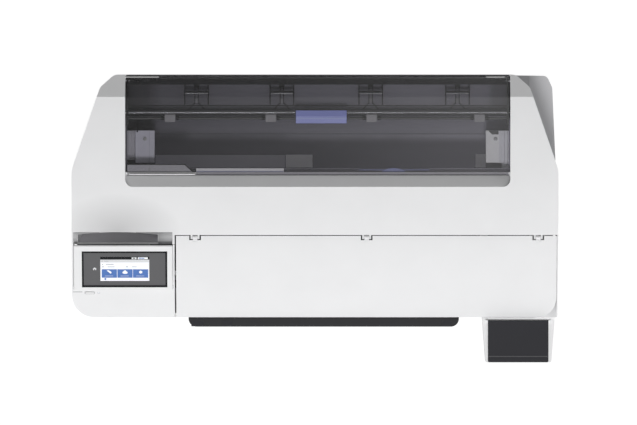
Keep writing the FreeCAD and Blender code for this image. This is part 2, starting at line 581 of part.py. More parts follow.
pins = [rod("pin", "X", "hinge_pin", 18, f"{x} - 9", HINGE_Y, HINGE_Z) for x in hinge_stations()]
pins.append(rod("pin", "X", "roll_pin", 8, "window_left", "roll_pivot_y", "roll_pivot_z"))
pins.append(rod("pin", "X", "roll_pin", 8, "window_right - 8", "roll_pivot_y", "roll_pivot_z"))
pins.append(rod("pin", "X", "panel_pin", 9, "panel_left - 1", *PIVOT))
pins.append(rod("pin", "X", "panel_pin", 9, "panel_left + panel_width - 8", *PIVOT))

# Roll compartment: a trough between the side frames, with a holder at each end
TROUGH_LEFT = "(window_left + 0.5)"
TROUGH_RIGHT = "(window_right - 0.5)"
FRONT_WALL = "(trough_y - trough_radius)"
REAR_WALL = "(trough_y + trough_radius)"
ROLL_TOP = "(trough_z + 30)"


def trough_round(name, radius, low, high):
    return rod(name, "X", radius, f"({high}) - ({low})", low, "trough_y", "trough_z")


below_axis = span("below_axis", f"-{FAR}", FAR, 0, 400, 0, "trough_z")
gutter = common("gutter", cut("gutter_ring",
                trough_round("gutter_outer", "trough_radius + trough_thick", TROUGH_LEFT, TROUGH_RIGHT),
                trough_round("gutter_inner", "trough_radius", f"-{FAR} / 2", f"{FAR} / 2")), below_axis)
trough_parts = [
    gutter,
    span("trough_front", TROUGH_LEFT, TROUGH_RIGHT, f"{FRONT_WALL} - trough_thick", FRONT_WALL,
         "trough_z", ROLL_TOP),
    span("trough_shelf", TROUGH_LEFT, TROUGH_RIGHT, f"{FRONT_WALL} - trough_thick", f"{FRONT_WALL} + 16",
         f"{ROLL_TOP} - trough_thick", ROLL_TOP),
    span("trough_rear", TROUGH_LEFT, TROUGH_RIGHT, REAR_WALL, f"{REAR_WALL} + trough_thick", "trough_z",
         "plate_z"),
]
for x, edge, frame_face in (("window_left + 0.5", TROUGH_LEFT, "frame_left + frame_thick"),
                            ("window_right - 0.5 - trough_thick", TROUGH_RIGHT, "frame_right")):
    plate = span("trough_end", x, f"{x} + trough_thick", f"{FRONT_WALL} - trough_thick",
                 f"{REAR_WALL} + trough_thick", "trough_z - trough_radius", "plate_z")
    trough_parts.append(common("trough_end_trim", plate, fuse("trough_end_shape",
                        trough_round("end_round", "trough_radius + trough_thick", f"-{FAR} / 2",
                                     f"{FAR} / 2"),
                        span("end_square", f"-{FAR}", FAR, 0, 400, "trough_z", 400))))
    low, high = (frame_face, edge) if edge == TROUGH_LEFT else (edge, frame_face)
    trough_parts.append(span("trough_tab", low, high, "trough_y - 30", "trough_y + 30", "trough_z - 12",
                             "trough_z"))
node("roll_trough", fuse("trough", *trough_parts))

seated = trough_round("holder_round", "trough_radius - fit_gap", f"-{FAR} / 2", f"{FAR} / 2")
holder_shape = fuse("holder_shape", seated, span("holder_upper", f"-{FAR}", FAR, f"{FRONT_WALL} + fit_gap",
                    f"{REAR_WALL} - fit_gap", "trough_z", 400))
for label, x, width, seat_x in (("left_roll_holder", "left_holder_x", "left_holder_width",
                                 "left_holder_x + 18"),
                                ("right_roll_holder", "right_holder_x", "right_holder_width",
                                 "right_holder_x - 1")):
    slab = block(label + "_slab", x, "holder_y", 0, width, "holder_depth", "holder_top")
    seat_width = "left_holder_width - 17" if label == "left_roll_holder" else "right_holder_width - 15"
    seat = rod(label + "_seat", "X", "seat_radius", seat_width, seat_x, "trough_y", "trough_z")
    slot = block(label + "_slot", seat_x, "trough_y", "trough_z - seat_radius", seat_width, 60,
                 "2 * seat_radius")
    node(label, cut(label + "_cut", common(label + "_form", slab, holder_shape), seat, slot))

# Paper guides along the front of the roll compartment
guides = [
    block("guide_bar", "window_left + 3", f"{FRONT_WALL} + 4", ROLL_TOP, 116, 20, 4),
    block("guide_step", "guide_middle", f"{FRONT_WALL} + 4", ROLL_TOP, 175, 12, 3),
]
for low, high in (("guide_middle - 82", "guide_middle + 177"), ("guide_middle + 178", "guide_middle + 232"),
                  ("right_holder_x - 20", "right_holder_x - 1")):
    ring = cut("guide_ring", trough_round("guide_outer", "trough_radius - fit_gap", low, high),
               trough_round("guide_inner", "trough_radius - trough_thick", f"-{FAR} / 2", f"{FAR} / 2"))
    guides.append(common("guide_plate", ring, span("guide_zone", f"-{FAR}", FAR, f"{FRONT_WALL} + 16",
                  f"{FRONT_WALL} + 42", 0, "trough_z")))
node("paper_guides", group("guides", *guides))

# Sheet feeder behind the roll: plate, four brackets, two shafts and the release lever
node("feeder_plate", span("plate", TROUGH_LEFT, TROUGH_RIGHT, f"{REAR_WALL} - 1", "plate_rear_y", "plate_z",
     "plate_z + plate_thick"))
brackets = []
for x in ("bracket_first", "bracket_second", "bracket_third", "bracket_fourth"):
    top = "plate_z + plate_thick"
    sides = [block("bracket_side", f"{x} + {offset}", "bracket_y", top, "bracket_wall", "bracket_depth",
                   "bracket_height") for offset in ("bracket_width / 2 - bracket_wall",
                                                    "(-1 * bracket_width / 2)")]
    bar = block("bracket_bar", f"{x} - bracket_width / 2", "bracket_y + 25", f"{top} + bracket_height - 5",
                "bracket_width", 3, 4)
    pin = rod("bracket_pin", "X", 1.5, "bracket_width", f"{x} - bracket_width / 2", "bracket_y + 20",
              f"{top} + bracket_height - 3")
    stem = block("bracket_stem", f"{x} - 4", "bracket_y", top, 8, "bracket_depth", "bracket_height - 4")
    fan = prism("bracket_fan", "XY", [(f"{x} - 4", "bracket_y"), (f"{x} - 14", "bracket_y - 8"),
                (f"{x} + 14", "bracket_y - 8"), (f"{x} + 4", "bracket_y")], top, f"{top} + 4")
    brackets.append(fuse("bracket", *sides, bar, pin, stem, fan))
node("hold_down_brackets", group("brackets", *brackets))
node("feeder_shaft", rod("bright_shaft", "X", "feeder_shaft_radius", "window_right - window_left",
                         "window_left",
     "feeder_shaft_y", "feeder_shaft_z"))
rollers = [rod("roller_shaft", "X", "roller_shaft_radius", "window_right - window_left - 2 * fit_gap",
               "window_left + fit_gap", "roller_shaft_y", "roller_shaft_z")]
for x in ("roller_first", "roller_second", "roller_third", "roller_fourth"):
    rollers.append(rod("small_roller", "X", "small_roller", "small_roller_width",
                       f"{x} - small_roller_width / 2",
                       "roller_shaft_y", "roller_shaft_z"))
node("feeder_rollers", fuse("rollers", *rollers))
PRESS = "(roller_shaft_z + small_roller + 1.5)"
lever = prism("lever_form", "YZ", [
    ("feeder_shaft_y - lever_reach", PRESS), ("feeder_shaft_y - lever_reach", f"{PRESS} + 4"),
    ("feeder_shaft_y - 8", "feeder_shaft_z + 7"), ("feeder_shaft_y + 5", "feeder_shaft_z + 7"),
    ("feeder_shaft_y + 5", "feeder_shaft_z - 5"), ("feeder_shaft_y - 4", "feeder_shaft_z - 5"),
    ("feeder_shaft_y - 5", PRESS)], "lever_left", "lever_left + lever_width", [(2, [1, 2, 3])])
node("release_lever", cut("lever", lever, rod("lever_bore", "X", "feeder_shaft_radius + running",
     "lever_width + 10", "lever_left - 5", "feeder_shaft_y", "feeder_shaft_z")))

# Side frames with the bearing holes of every shaft
PAN_TOP = "(foot_height + pan_thick)"
shaft_holes = [rod("shaft_hole", "X", "shaft_radius + running", FAR, f"-{FAR} / 2", "feed_y", "feed_z"),
               rod("shaft_hole", "X", "shaft_radius + running", FAR, f"-{FAR} / 2", "eject_y", "eject_z")]
PINION_Y = "(feed_y - gear_module * (feed_teeth + pinion_teeth) / 2)"
frame_points = [
    ("frame_front", PAN_TOP), ("frame_rear", PAN_TOP), ("frame_rear", "frame_top"), ("frame_step",
                                                                                     "frame_top"),
    ("frame_step", "frame_top - 18"), ("carriage_front + 6", "frame_top - 18"),
    ("carriage_front + 6", "frame_front_top"), ("frame_front", "frame_front_top")]
for label, x in (("left_side_frame", "frame_left"), ("right_side_frame", "frame_right")):
    plate = prism(label + "_plate", "YZ", frame_points, x, f"{x} + frame_thick")
    holes = list(shaft_holes)
    if label == "left_side_frame":
        holes.append(rod("motor_hole", "X", "motor_shaft + 1", 40, "frame_left - 20", PINION_Y, "feed_z"))
    node(label, cut(label + "_cut", plate, *holes))

# Print table, rail, carriage and head
PLATEN_REAR = "(platen_front + platen_depth)"
table = span("table", "-platen_half", "platen_half", "platen_front", PLATEN_REAR, "platen_top - 4",
             "platen_top")
legs = [span("leg", "-platen_half", "platen_half", y, f"{y} + 4", PAN_TOP, "platen_top - 4")
        for y in ("(platen_front + 12)", f"({PLATEN_REAR} - 12)")]
node("platen", fuse("table_body", table, *legs))
RAIL_TOP = "(rail_low + rail_height)"
FRAME_FACE = "(frame_left + frame_thick)"
channel = span("channel", FRAME_FACE, "frame_right", "rail_y", "rail_y + rail_depth", "rail_low", RAIL_TOP)
channel_hollow = span("channel_hollow", f"-{FAR}", FAR, "rail_y + rail_wall", 400, "rail_low + rail_wall",
                      f"{RAIL_TOP} - rail_wall")
web_holes = [rod("web_hole", "Y", "motor_shaft + running", 20, x, "rail_y - 10", "belt_z")
             for x in ("belt_left", "belt_right")]
node("carriage_rail", cut("rail", channel, channel_hollow, *web_holes))

CARRIAGE_RIGHT = "(carriage_x + carriage_width)"
CARRIAGE_TOP = "(carriage_low + carriage_height)"
LOOP = "(pulley_radius + fit_gap + belt_thick)"
carriage_box = span("carriage_box", "carriage_x", CARRIAGE_RIGHT, "carriage_front", "rail_y - carriage_gap",
                    "carriage_low", CARRIAGE_TOP)
rail_shoe = span("rail_shoe", "carriage_x", CARRIAGE_RIGHT, "rail_y - 8", "rail_y + 14",
                 f"{RAIL_TOP} + fit_gap",
                 f"{RAIL_TOP} + 5")
belt_slot = span("belt_slot", f"-{FAR}", FAR, "belt_y - belt_width / 2 - 1.5", "rail_y",
                 f"belt_z - {LOOP} - 1.5", f"belt_z + {LOOP} + 1.5")
belt_clamp = span("belt_clamp", "carriage_x + carriage_width / 2 - 6", "carriage_x + carriage_width / 2 + 6",
                  "belt_y - belt_width / 2", "rail_y - carriage_gap", f"belt_z + {LOOP} + fit_gap",
                  f"belt_z + {LOOP} + 2")
carriage_corner = prism("carriage_corner", "XY", [
    ("carriage_x", "carriage_front"), (CARRIAGE_RIGHT, "carriage_front"), (CARRIAGE_RIGHT, 60),
    ("carriage_x", 60)], 0, 400, [(8, [0, 1])])
node("carriage", fuse("carriage_whole", cut("carriage_slotted", common("carriage_trim",
     fuse("carriage_blank", carriage_box, rail_shoe), carriage_corner), belt_slot), belt_clamp))
node("print_head", span("head", "carriage_x + head_inset", f"{CARRIAGE_RIGHT} - head_inset",
                        "carriage_front + 14",
     "rail_y - 30", "platen_top + head_gap", "carriage_low"))


def belt_loop(name, radius, low, high):
    x_low = f"belt_left - {radius}"
    x_high = f"belt_right + {radius}"
    corners = [(x_low, f"belt_z - {radius}"), (x_high, f"belt_z - {radius}"), (x_high, f"belt_z + {radius}"),
               (x_low, f"belt_z + {radius}")]
    return prism(name, "XZ", corners, low, high, [(f"{radius} - 0.02", [0, 1, 2, 3])])


BELT_FRONT = "(belt_y - belt_width / 2)"
belt_outer = belt_loop("belt_outer", LOOP, BELT_FRONT, f"{BELT_FRONT} + belt_width")
belt_inner = belt_loop("belt_inner", "(pulley_radius + fit_gap)", f"{BELT_FRONT} - 2",
                       f"{BELT_FRONT} + belt_width + 2")
node("timing_belt", cut("belt", belt_outer, belt_inner))
for label, x, reach in (("drive_pulley", "belt_right", 16), ("idler_pulley", "belt_left", 8)):
    wheel = rod(label + "_wheel", "Y", "pulley_radius", "belt_width", x, BELT_FRONT, "belt_z")
    flange = rod(label + "_flange", "Y", "pulley_radius + 2", 1, x, f"{BELT_FRONT} - 1.1", "belt_z")
    hub = rod(label + "_hub", "Y", "pulley_radius / 2", 1.2, x, f"{BELT_FRONT} - 1.1", "belt_z")
    axle = rod(label + "_axle", "Y", "motor_shaft", f"rail_y + rail_wall - {BELT_FRONT} + {reach}", x,
               BELT_FRONT,
               "belt_z")
    node(label, fuse(label + "_body", wheel, flange, hub, axle))
belt_motor = rod("belt_motor", "Y", "belt_motor_radius", 26, "belt_right", "rail_y + rail_wall", "belt_z")
node("carriage_motor", cut("belt_motor_bored", belt_motor, rod("belt_motor_bore", "Y",
                                                               "motor_shaft + running", 18,
     "belt_right", "rail_y", "belt_z")))

# Paper feed
GEAR_X = "(frame_left - gear_width - 3)"
feed_core = rod("feed_core", "X", "feed_radius", "2 * platen_half + 24", "-platen_half - 12", "feed_y",
                "feed_z")
feed_axle = rod("feed_axle", "X", "shaft_radius", f"frame_right + frame_thick + 2 - {GEAR_X} + 2",
                f"{GEAR_X} - 2",
                "feed_y", "feed_z")
node("feed_roller", fuse("feed_roller_body", feed_core, feed_axle))


def gear(label, teeth, x, y, z, bore, turn):
    """A spur gear with straight-sided teeth, on an axle along X."""
    module = size("gear_module")
    pitch = teeth * module / 2
    profile = ((-1.2, 0.95), (0, 0.785), (0.9, 0.35))
    corners = []
    for tooth in range(teeth):
        middle = 2 * math.pi * tooth / teeth + turn
        for rise, half in profile + tuple((r, -h) for r, h in reversed(profile)):
            radius = pitch + rise * module
            angle = middle - half * (1 - size("gear_clearance") / 2) * module / radius
            corners.append(FreeCAD.Vector(0, radius * math.cos(angle), radius * math.sin(angle)))
    face = Part.Face(Part.makePolygon(corners + corners[:1]))
    wheel = face.extrude(FreeCAD.Vector(size("gear_width"), 0, 0))
    if bore:
        wheel = wheel.cut(Part.makeCylinder(bore, size("gear_width"), FreeCAD.Vector(),
                                            FreeCAD.Vector(1, 0, 0)))
    item = document.addObject("Part::Feature", label + "_wheel")
    item.Shape = wheel
    place(item, x, y, z)
    return item


node("feed_gear", gear("feed_gear", int(size("feed_teeth")), GEAR_X, "feed_y", "feed_z",
                       size("shaft_radius"), 0))
pinion = gear("motor_pinion", int(size("pinion_teeth")), GEAR_X, PINION_Y, "feed_z", 0,
              math.pi / size("pinion_teeth"))
pinion_axle = rod("pinion_axle", "X", "motor_shaft", f"{FRAME_FACE} + 16 - {GEAR_X}", GEAR_X, PINION_Y,
                  "feed_z")
node("motor_pinion", fuse("pinion_body", pinion, pinion_axle))
feed_motor = rod("feed_motor_can", "X", "motor_radius", "motor_length", FRAME_FACE, PINION_Y, "feed_z")
node("feed_motor", cut("feed_motor_bored", feed_motor, rod("feed_motor_bore", "X",
                                                           "motor_shaft + running", 18,
     FRAME_FACE, PINION_Y, "feed_z")))
PINCH_Z = "(feed_z + feed_radius + nip_gap + pinch_radius)"
pinch = [rod("pinch_axle", "X", 2, f"frame_right - {FRAME_FACE} - 2 * fit_gap",
             f"{FRAME_FACE} + fit_gap", "feed_y",
             PINCH_Z)]
for number in range(7):
    pinch.append(rod("pinch_roller", "X", "pinch_radius", "pinch_width",
                     f"({number} - 3) * 96 - pinch_width / 2", "feed_y", PINCH_Z))
node("pinch_rollers", fuse("pinch_body", *pinch))
eject_core = rod("eject_core", "X", "eject_radius", "2 * platen_half - 10", "-platen_half + 5",
                 "eject_y", "eject_z")
eject_axle = rod("eject_axle", "X", "shaft_radius", "frame_right - frame_left + frame_thick + 4",
                 "frame_left - 2",
                 "eject_y", "eject_z")
node("eject_roller", fuse("eject_body", eject_core, eject_axle))

# Cutter and capping station
node("cutter_rail", span("cutter_bar", FRAME_FACE, "frame_right", "cutter_y - 8", "cutter_y",
                         "cutter_rail_z",
     "cutter_rail_z + 6"))
cutter_body = span("cutter_body", "carriage_x", "carriage_x + cutter_width", "cutter_y - 12", "cutter_y + 6",
                   "cutter_z", "cutter_rail_z - fit_gap")
cutter_hook = span("cutter_hook", "carriage_x", "carriage_x + cutter_width", "cutter_y - 12",
                   "cutter_y - 8 - fit_gap", "cutter_z", "cutter_rail_z + 9")
blade = rod("blade", "Y", 7, 1, "carriage_x + cutter_width / 2", "platen_front - 5", "cutter_z + 2")
node("cutter_carriage", fuse("cutter", cutter_body, cutter_hook, blade))
cap_block = span("cap_block", "carriage_x", CARRIAGE_RIGHT, "carriage_front + 4", "rail_y - 8", PAN_TOP,
                 "platen_top - 10")
cap_cup = span("cap_cup", "carriage_x + head_inset - 2", f"{CARRIAGE_RIGHT} - head_inset + 2",
               "carriage_front + 12",
               "rail_y - 28", "platen_top - 10", "platen_top + head_gap - fit_gap")
cap_hollow = span("cap_hollow", "carriage_x + head_inset + 2", f"{CARRIAGE_RIGHT} - head_inset - 2",
                  "carriage_front + 16", "rail_y - 32", "platen_top - 6", 400)
node("capping_station", cut("cap_body", fuse("cap_blank", cap_block, cap_cup), cap_hollow))

# Output guide under the front cover
guide_profile = prism("guide_profile", "YZ", [
    ("guide_front", "cover_low - mouth_gap - 4"), ("guide_front", "cover_low - mouth_gap + 2"),
    ("front_y - 3", "cover_low - mouth_gap + 3.3"), ("eject_y - 16", "cover_low - mouth_gap + 6"),
    ("eject_y - 16", "cover_low - mouth_gap + 3"), ("front_y + 6", "cover_low - mouth_gap + fit_gap"),
    ("front_y - fit_gap", "cover_low - mouth_gap + fit_gap"), ("front_y - fit_gap",
                                                               "cover_low - mouth_gap - 4")],
    "guide_left", "guide_right")
guide_plan = prism("guide_plan", "XY", [("guide_left", "guide_front"), ("guide_right", "guide_front"),
                   ("guide_right", 0), ("guide_left", 0)], 0, 400, [("guide_round", [0, 1])])
node("output_guide", common("output_guide_body", guide_profile, guide_plan))

# Ink tank box with its lid, tanks and caps
def ink_plan(name, inset, low, high):
    return prism(name, "XY", [
        (f"ink_left + {inset}", f"ink_rear - {inset}"),
        (f"ink_left + ink_taper + {inset}", f"ink_front + {inset}"),
        (f"ink_right - ink_taper - {inset}", f"ink_front + {inset}"),
        (f"ink_right - {inset}", f"ink_rear - {inset}")], low, high, [(4, [1, 2])])


INK_FLOOR = "(ink_base + ink_wall)"
ink_mouth = span("ink_mouth", "lid_left + 5", "lid_right - 5", "ink_front + 6", "lid_rear - 9",
                 INK_FLOOR, 400)
lid_ears = [span("lid_ear", low, high, "lid_rear - 4", "lid_rear", "ink_top",
                 "ink_top + lid_thick + fit_gap")
            for low, high in (("lid_left - 5", "lid_left - fit_gap"), ("lid_right + fit_gap",
                                                                       "lid_right + 5"))]
LID_PIVOT = ("lid_rear - lid_thick / 2", "ink_top + fit_gap + lid_thick / 2")
lid_bore = rod("lid_bore", "X", "lid_pin", 200, "lid_left - 40", *LID_PIVOT)
node("ink_box", cut("ink_box_body", fuse("ink_box_blank", ink_plan("ink_outside", 0, "ink_base", "ink_top"),
     *lid_ears), ink_plan("ink_inside", "ink_wall", INK_FLOOR, "ink_top - ink_wall"), ink_mouth, lid_bore))
lid_side = prism("lid_side", "YZ", [
    ("ink_front + 0.2", "ink_top + fit_gap"), ("lid_rear", "ink_top + fit_gap"),
    ("lid_rear", "ink_top + fit_gap + lid_thick"), ("ink_front + 0.2", "ink_top + fit_gap + lid_thick")],
    "lid_left", "lid_right", [("lid_thick / 2 - 0.02", [1, 2]), (1.5, [3])])
lid_corners = prism("lid_corners", "XY", [
    ("lid_left", "ink_front + 0.2"), ("lid_right", "ink_front + 0.2"), ("lid_right", 0), ("lid_left", 0)],
    0, 400, [(3, [0, 1])])
node("ink_box_lid", cut("lid_bored", common("lid_form", lid_side, lid_corners),
     rod("lid_hole", "X", "lid_pin + running", 200, "lid_left - 40", *LID_PIVOT)))
for x in ("lid_left - 5", "lid_right - 5"):
    pins.append(rod("pin", "X", "lid_pin", 10, x, *LID_PIVOT))
node("hinge_pins", group("all_pins", *pins))
TANKS_LEFT = "((lid_left + lid_right) / 2 - 2 * tank_width - 1.5 * tank_gap)"
TANK_TOP = f"({INK_FLOOR} + tank_height)"
NECK_Y = "(ink_front + tank_neck_y)"
tanks = []
for number in range(4):
    x = f"({TANKS_LEFT} + {number} * (tank_width + tank_gap))"
    middle = f"({x} + tank_width / 2)"
    body = block("tank_body", x, "ink_front + 9", INK_FLOOR, "tank_width", "ink_rear - ink_front - 22",
                 "tank_height")
    neck = rod("neck", "Z", "cap_radius - 2", 5, middle, NECK_Y, f"{TANK_TOP} - 2")
    tanks.append(fuse("tank", body, neck))
    grips = [rod("grip", "Z", 1.6, "cap_height", f"{middle} + (cap_radius - 0.6) * cos({60 * turn})",
                 f"{NECK_Y} + (cap_radius - 0.6) * sin({60 * turn})", TANK_TOP) for turn in range(6)]
    cap = fuse("cap_blank", rod("cap_round", "Z", "cap_radius", "cap_height", middle, NECK_Y, TANK_TOP),
               *grips)
    cap_well = rod("cap_well", "Z", "cap_radius - 2 + running", 3.3, middle, NECK_Y, TANK_TOP)
    node(f"tank_cap_{number + 1}", cut("cap_hollowed", cap, cap_well))
node("ink_tanks", group("tank_row", *tanks))

# Right rear housing and the maintenance box that slides out of it
housing_points = [("rear_taper * 3", "rear_y"), ("housing_rear_x - 11", "rear_y - 2"),
                  ("housing_rear_x", "corner_y"), ("housing_low_width",
                                                   "shoulder_y + 6"), ("rear_taper * 3", 100)]
wedge = prism("wedge", "XY", housing_points, "case_base", "housing_top", [(12, [1, 2])])
wedge_hollow = prism("wedge_hollow", "XY", [
    ("rear_taper * 3", "rear_y - wall"), ("housing_rear_x - 11 - wall", "rear_y - wall - 2"),
    ("housing_rear_x - wall", "corner_y"), ("housing_low_width - wall", "shoulder_y + 16"),
    ("rear_taper * 3", "shoulder_y + 16")], 0, "housing_top - 34", [(9, [1, 2])])
roof_slope = prism("roof_slope", "XZ", [
    ("rear_taper * 3", 0), (HALF, 0), (HALF, "housing_top - 32"), (f"{HALF} - side_taper", "housing_top"),
    ("rear_taper * 3", "housing_top")], 0, 400)
wedge_open = cut("wedge_open", common("wedge_roofed", wedge, roof_slope), wedge_hollow,
                 plan("housing_seat", "(-fit_gap)", 0, 400), drawer_bay)
node("rear_housing", wedge_open)
drawer_outer = span("drawer_outer", "drawer_left", "drawer_left + drawer_width", "drawer_front",
                    "rear_y - 3.4",
                    "drawer_low", "drawer_low + drawer_height")
drawer_grip = span("drawer_grip", "drawer_left + 14", "drawer_left + drawer_width - 14", "rear_y - 12", 400,
                   "drawer_low + drawer_height - 22", "drawer_low + drawer_height - 10")
drawer_well = span("drawer_well", "drawer_left + 3", "drawer_left + drawer_width - 3", "drawer_front + 3",
                   "rear_y - 24", "drawer_low + 3", 400)
node("maintenance_box", cut("drawer", drawer_outer, drawer_grip, drawer_well))

# Electrics on the base
BOARD_TOP = f"({PAN_TOP} + board_gap + board_thick)"
board = span("board", "board_left", "board_right", "board_front", "board_rear", f"{BOARD_TOP} - board_thick",
             BOARD_TOP)
posts = [rod("post", "Z", 4, "board_gap + 0.5", x, y, PAN_TOP) for x in ("board_left + 10",
                                                                         "board_right - 10")
         for y in ("board_front + 10", "board_rear - 10")]
chips = [block("chip", f"board_left + {x}", f"board_front + {y}", BOARD_TOP, width, depth, height)
         for x, y, width, depth, height in ((30, 20, 36, 36, 4), (90, 30, 24, 24, 3), (140, 20, 30, 14, 10),
                                            (40, 80, 60, 10, 12))]
node("main_board", fuse("board_body", board, *posts, *chips))
node("power_supply", span("supply", "supply_left", "supply_right", "supply_front", "supply_rear", PAN_TOP,
     f"{PAN_TOP} + supply_height"))
SCREW_SEATS = [("window_left + 48", f"{FRONT_WALL} + 14", f"{ROLL_TOP} + 4"),
               ("left_holder_x + 19", "trough_y + 14", "holder_top"),
               ("right_holder_x + 19", "trough_y + 14", "holder_top"),
               ("window_left + 24", "plate_rear_y - 8", "plate_z + plate_thick"),
               ("window_right - 24", "plate_rear_y - 8", "plate_z + plate_thick")]
heads = [rod("screw_head", "Z", "screw_head", 1.8, *seat) for seat in SCREW_SEATS]
node("guide_screws", group("screws", *heads))

document.recompute()
for item in document.Objects:
    if "Invalid" in item.State or "Error" in item.State:
        raise ValueError(f"{item.Label} failed to build")
os.makedirs("parts", exist_ok=True)
for item in NODES:
    if item.Shape.isNull() or not item.Shape.isValid() or not item.Shape.Solids:
        raise ValueError(f"{item.Label} is not a sound solid")
    item.Shape.exportStep(f"parts/{item.Label}.step")
    print(item.Label, len(item.Shape.Solids), round(item.Shape.Volume / 1000, 2))
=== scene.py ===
import math

import bpy
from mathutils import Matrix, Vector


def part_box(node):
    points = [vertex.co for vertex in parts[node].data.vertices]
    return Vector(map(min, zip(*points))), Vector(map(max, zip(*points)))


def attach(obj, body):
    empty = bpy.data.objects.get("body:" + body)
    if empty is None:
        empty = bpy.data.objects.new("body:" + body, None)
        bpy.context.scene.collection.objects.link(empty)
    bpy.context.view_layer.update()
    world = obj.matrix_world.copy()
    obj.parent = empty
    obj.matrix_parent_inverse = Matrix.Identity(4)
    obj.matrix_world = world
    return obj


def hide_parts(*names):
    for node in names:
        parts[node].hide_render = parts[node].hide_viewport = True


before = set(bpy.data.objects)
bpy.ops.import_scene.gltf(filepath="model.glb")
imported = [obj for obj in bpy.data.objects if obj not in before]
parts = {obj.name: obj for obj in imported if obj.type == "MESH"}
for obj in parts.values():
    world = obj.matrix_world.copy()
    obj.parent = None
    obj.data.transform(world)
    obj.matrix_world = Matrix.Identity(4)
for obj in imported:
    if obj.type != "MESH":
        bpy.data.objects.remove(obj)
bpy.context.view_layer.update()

# The picture: a long lens straight above the printer
camera_data = bpy.data.cameras.new("overhead_camera")
camera = bpy.data.objects.new("overhead_camera", camera_data)
bpy.context.scene.collection.objects.link(camera)
camera.location = (0.007, 0.0125, 30.0)
camera_data.sensor_width = 36.0
camera_data.lens = 845.2
camera_data.clip_end = 200.0
bpy.context.scene.camera = camera
bpy.context.scene.view_settings.view_transform = "Standard"

# One broad lamp from the front, a weak one from the right and an even pale room
lamp_data = bpy.data.lights.new("front_lamp", "SUN")
lamp_data.energy = 2.17
lamp_data.angle = math.radians(15)
front_lamp = bpy.data.objects.new("front_lamp", lamp_data)
front_lamp.rotation_euler = (math.radians(36), 0, 0)
bpy.context.scene.collection.objects.link(front_lamp)
side_data = bpy.data.lights.new("side_lamp", "SUN")
side_data.energy = 0.55
side_data.angle = math.radians(60)
side_lamp = bpy.data.objects.new("side_lamp", side_data)
side_lamp.rotation_euler = (0, math.radians(72), 0)
bpy.context.scene.collection.objects.link(side_lamp)

room = bpy.data.worlds.new("pale_room")
room.use_nodes = True
bpy.context.scene.world = room
air = room.node_tree.nodes
air.clear()
room_ray = air.new("ShaderNodeLightPath")
seen = air.new("ShaderNodeMath")
seen.operation = "MAXIMUM"
seen_through = air.new("ShaderNodeMath")
seen_through.operation = "MAXIMUM"
dim_air = air.new("ShaderNodeBackground")
dim_air.inputs["Color"].default_value = (1, 1, 1, 1)
dim_air.inputs["Strength"].default_value = 0.2
white_air = air.new("ShaderNodeBackground")
white_air.inputs["Color"].default_value = (1, 1, 1, 1)
white_air.inputs["Strength"].default_value = 1.0
either_air = air.new("ShaderNodeMixShader")
room_out = air.new("ShaderNodeOutputWorld")
join = room.node_tree.links.new
join(room_ray.outputs["Is Camera Ray"], seen.inputs[0])
join(room_ray.outputs["Is Glossy Ray"], seen.inputs[1])
join(seen.outputs[0], seen_through.inputs[0])
join(room_ray.outputs["Is Transmission Ray"], seen_through.inputs[1])
join(seen_through.outputs[0], either_air.inputs["Fac"])
join(dim_air.outputs[0], either_air.inputs[1])
join(white_air.outputs[0], either_air.inputs[2])
join(either_air.outputs[0], room_out.inputs["Surface"])


def start_material(name):
    """A new material, its shader and the object's own coordinates."""
    material = bpy.data.materials.new(name)
    material.use_nodes = True
    nodes = material.node_tree.nodes
    coordinates = nodes.new("ShaderNodeTexCoord")
    return material, nodes["Principled BSDF"], coordinates.outputs["Object"]


def speckle(material, place, scale, detail=3.0, stretch=(1, 1, 1)):
    """Noise at a size, drawn out along an axis where the stretch is small."""
    nodes = material.node_tree.nodes
    mapping = nodes.new("ShaderNodeMapping")
    mapping.inputs["Scale"].default_value = stretch
    noise = nodes.new("ShaderNodeTexNoise")
    noise.inputs["Scale"].default_value = scale
    noise.inputs["Detail"].default_value = detail
    material.node_tree.links.new(place, mapping.inputs["Vector"])
    material.node_tree.links.new(mapping.outputs["Vector"], noise.inputs["Vector"])
    return noise.outputs["Fac"]


def tint(material, shader, mask, dark, light):
    """The colour wanders between two shades of itself."""
    mix = material.node_tree.nodes.new("ShaderNodeMix")
    mix.data_type = "RGBA"
    mix.inputs["A"].default_value = (*dark, 1)
    mix.inputs["B"].default_value = (*light, 1)
    material.node_tree.links.new(mask, mix.inputs["Factor"])
    material.node_tree.links.new(mix.outputs["Result"], shader.inputs["Base Color"])


def gloss_range(material, shader, mask, low, high):
    """The roughness wanders between two limits."""
    spread = material.node_tree.nodes.new("ShaderNodeMapRange")
    spread.inputs["To Min"].default_value = low
    spread.inputs["To Max"].default_value = high
    material.node_tree.links.new(mask, spread.inputs["Value"])
    material.node_tree.links.new(spread.outputs["Result"], shader.inputs["Roughness"])


def relief(material, shader, mask, depth, strength=1.0):
    """Fine relief, its depth in metres."""
    bump = material.node_tree.nodes.new("ShaderNodeBump")
    bump.inputs["Distance"].default_value = depth
    bump.inputs["Strength"].default_value = strength
    material.node_tree.links.new(mask, bump.inputs["Height"])
    material.node_tree.links.new(bump.outputs["Normal"], shader.inputs["Normal"])


def shade(colour, amount):
    return tuple(min(1.0, channel * amount) for channel in colour)


def moulded_plastic(name, colour, roughness, grain=1800, depth=0.00004, mottle=0.03, shine=0.3):
    """Moulded plastic with an eroded grain, a faint mottle and patches that handling has polished."""
    material, shader, place = start_material(name)
    shader.inputs["Specular IOR Level"].default_value = shine
    tint(material, shader, speckle(material, place, 14, 5), shade(colour, 1 - mottle), shade(colour, 1 + mottle))
    gloss_range(material, shader, speckle(material, place, 45, 4), roughness - 0.06, roughness + 0.08)
    relief(material, shader, speckle(material, place, grain, 2), depth)
    return material


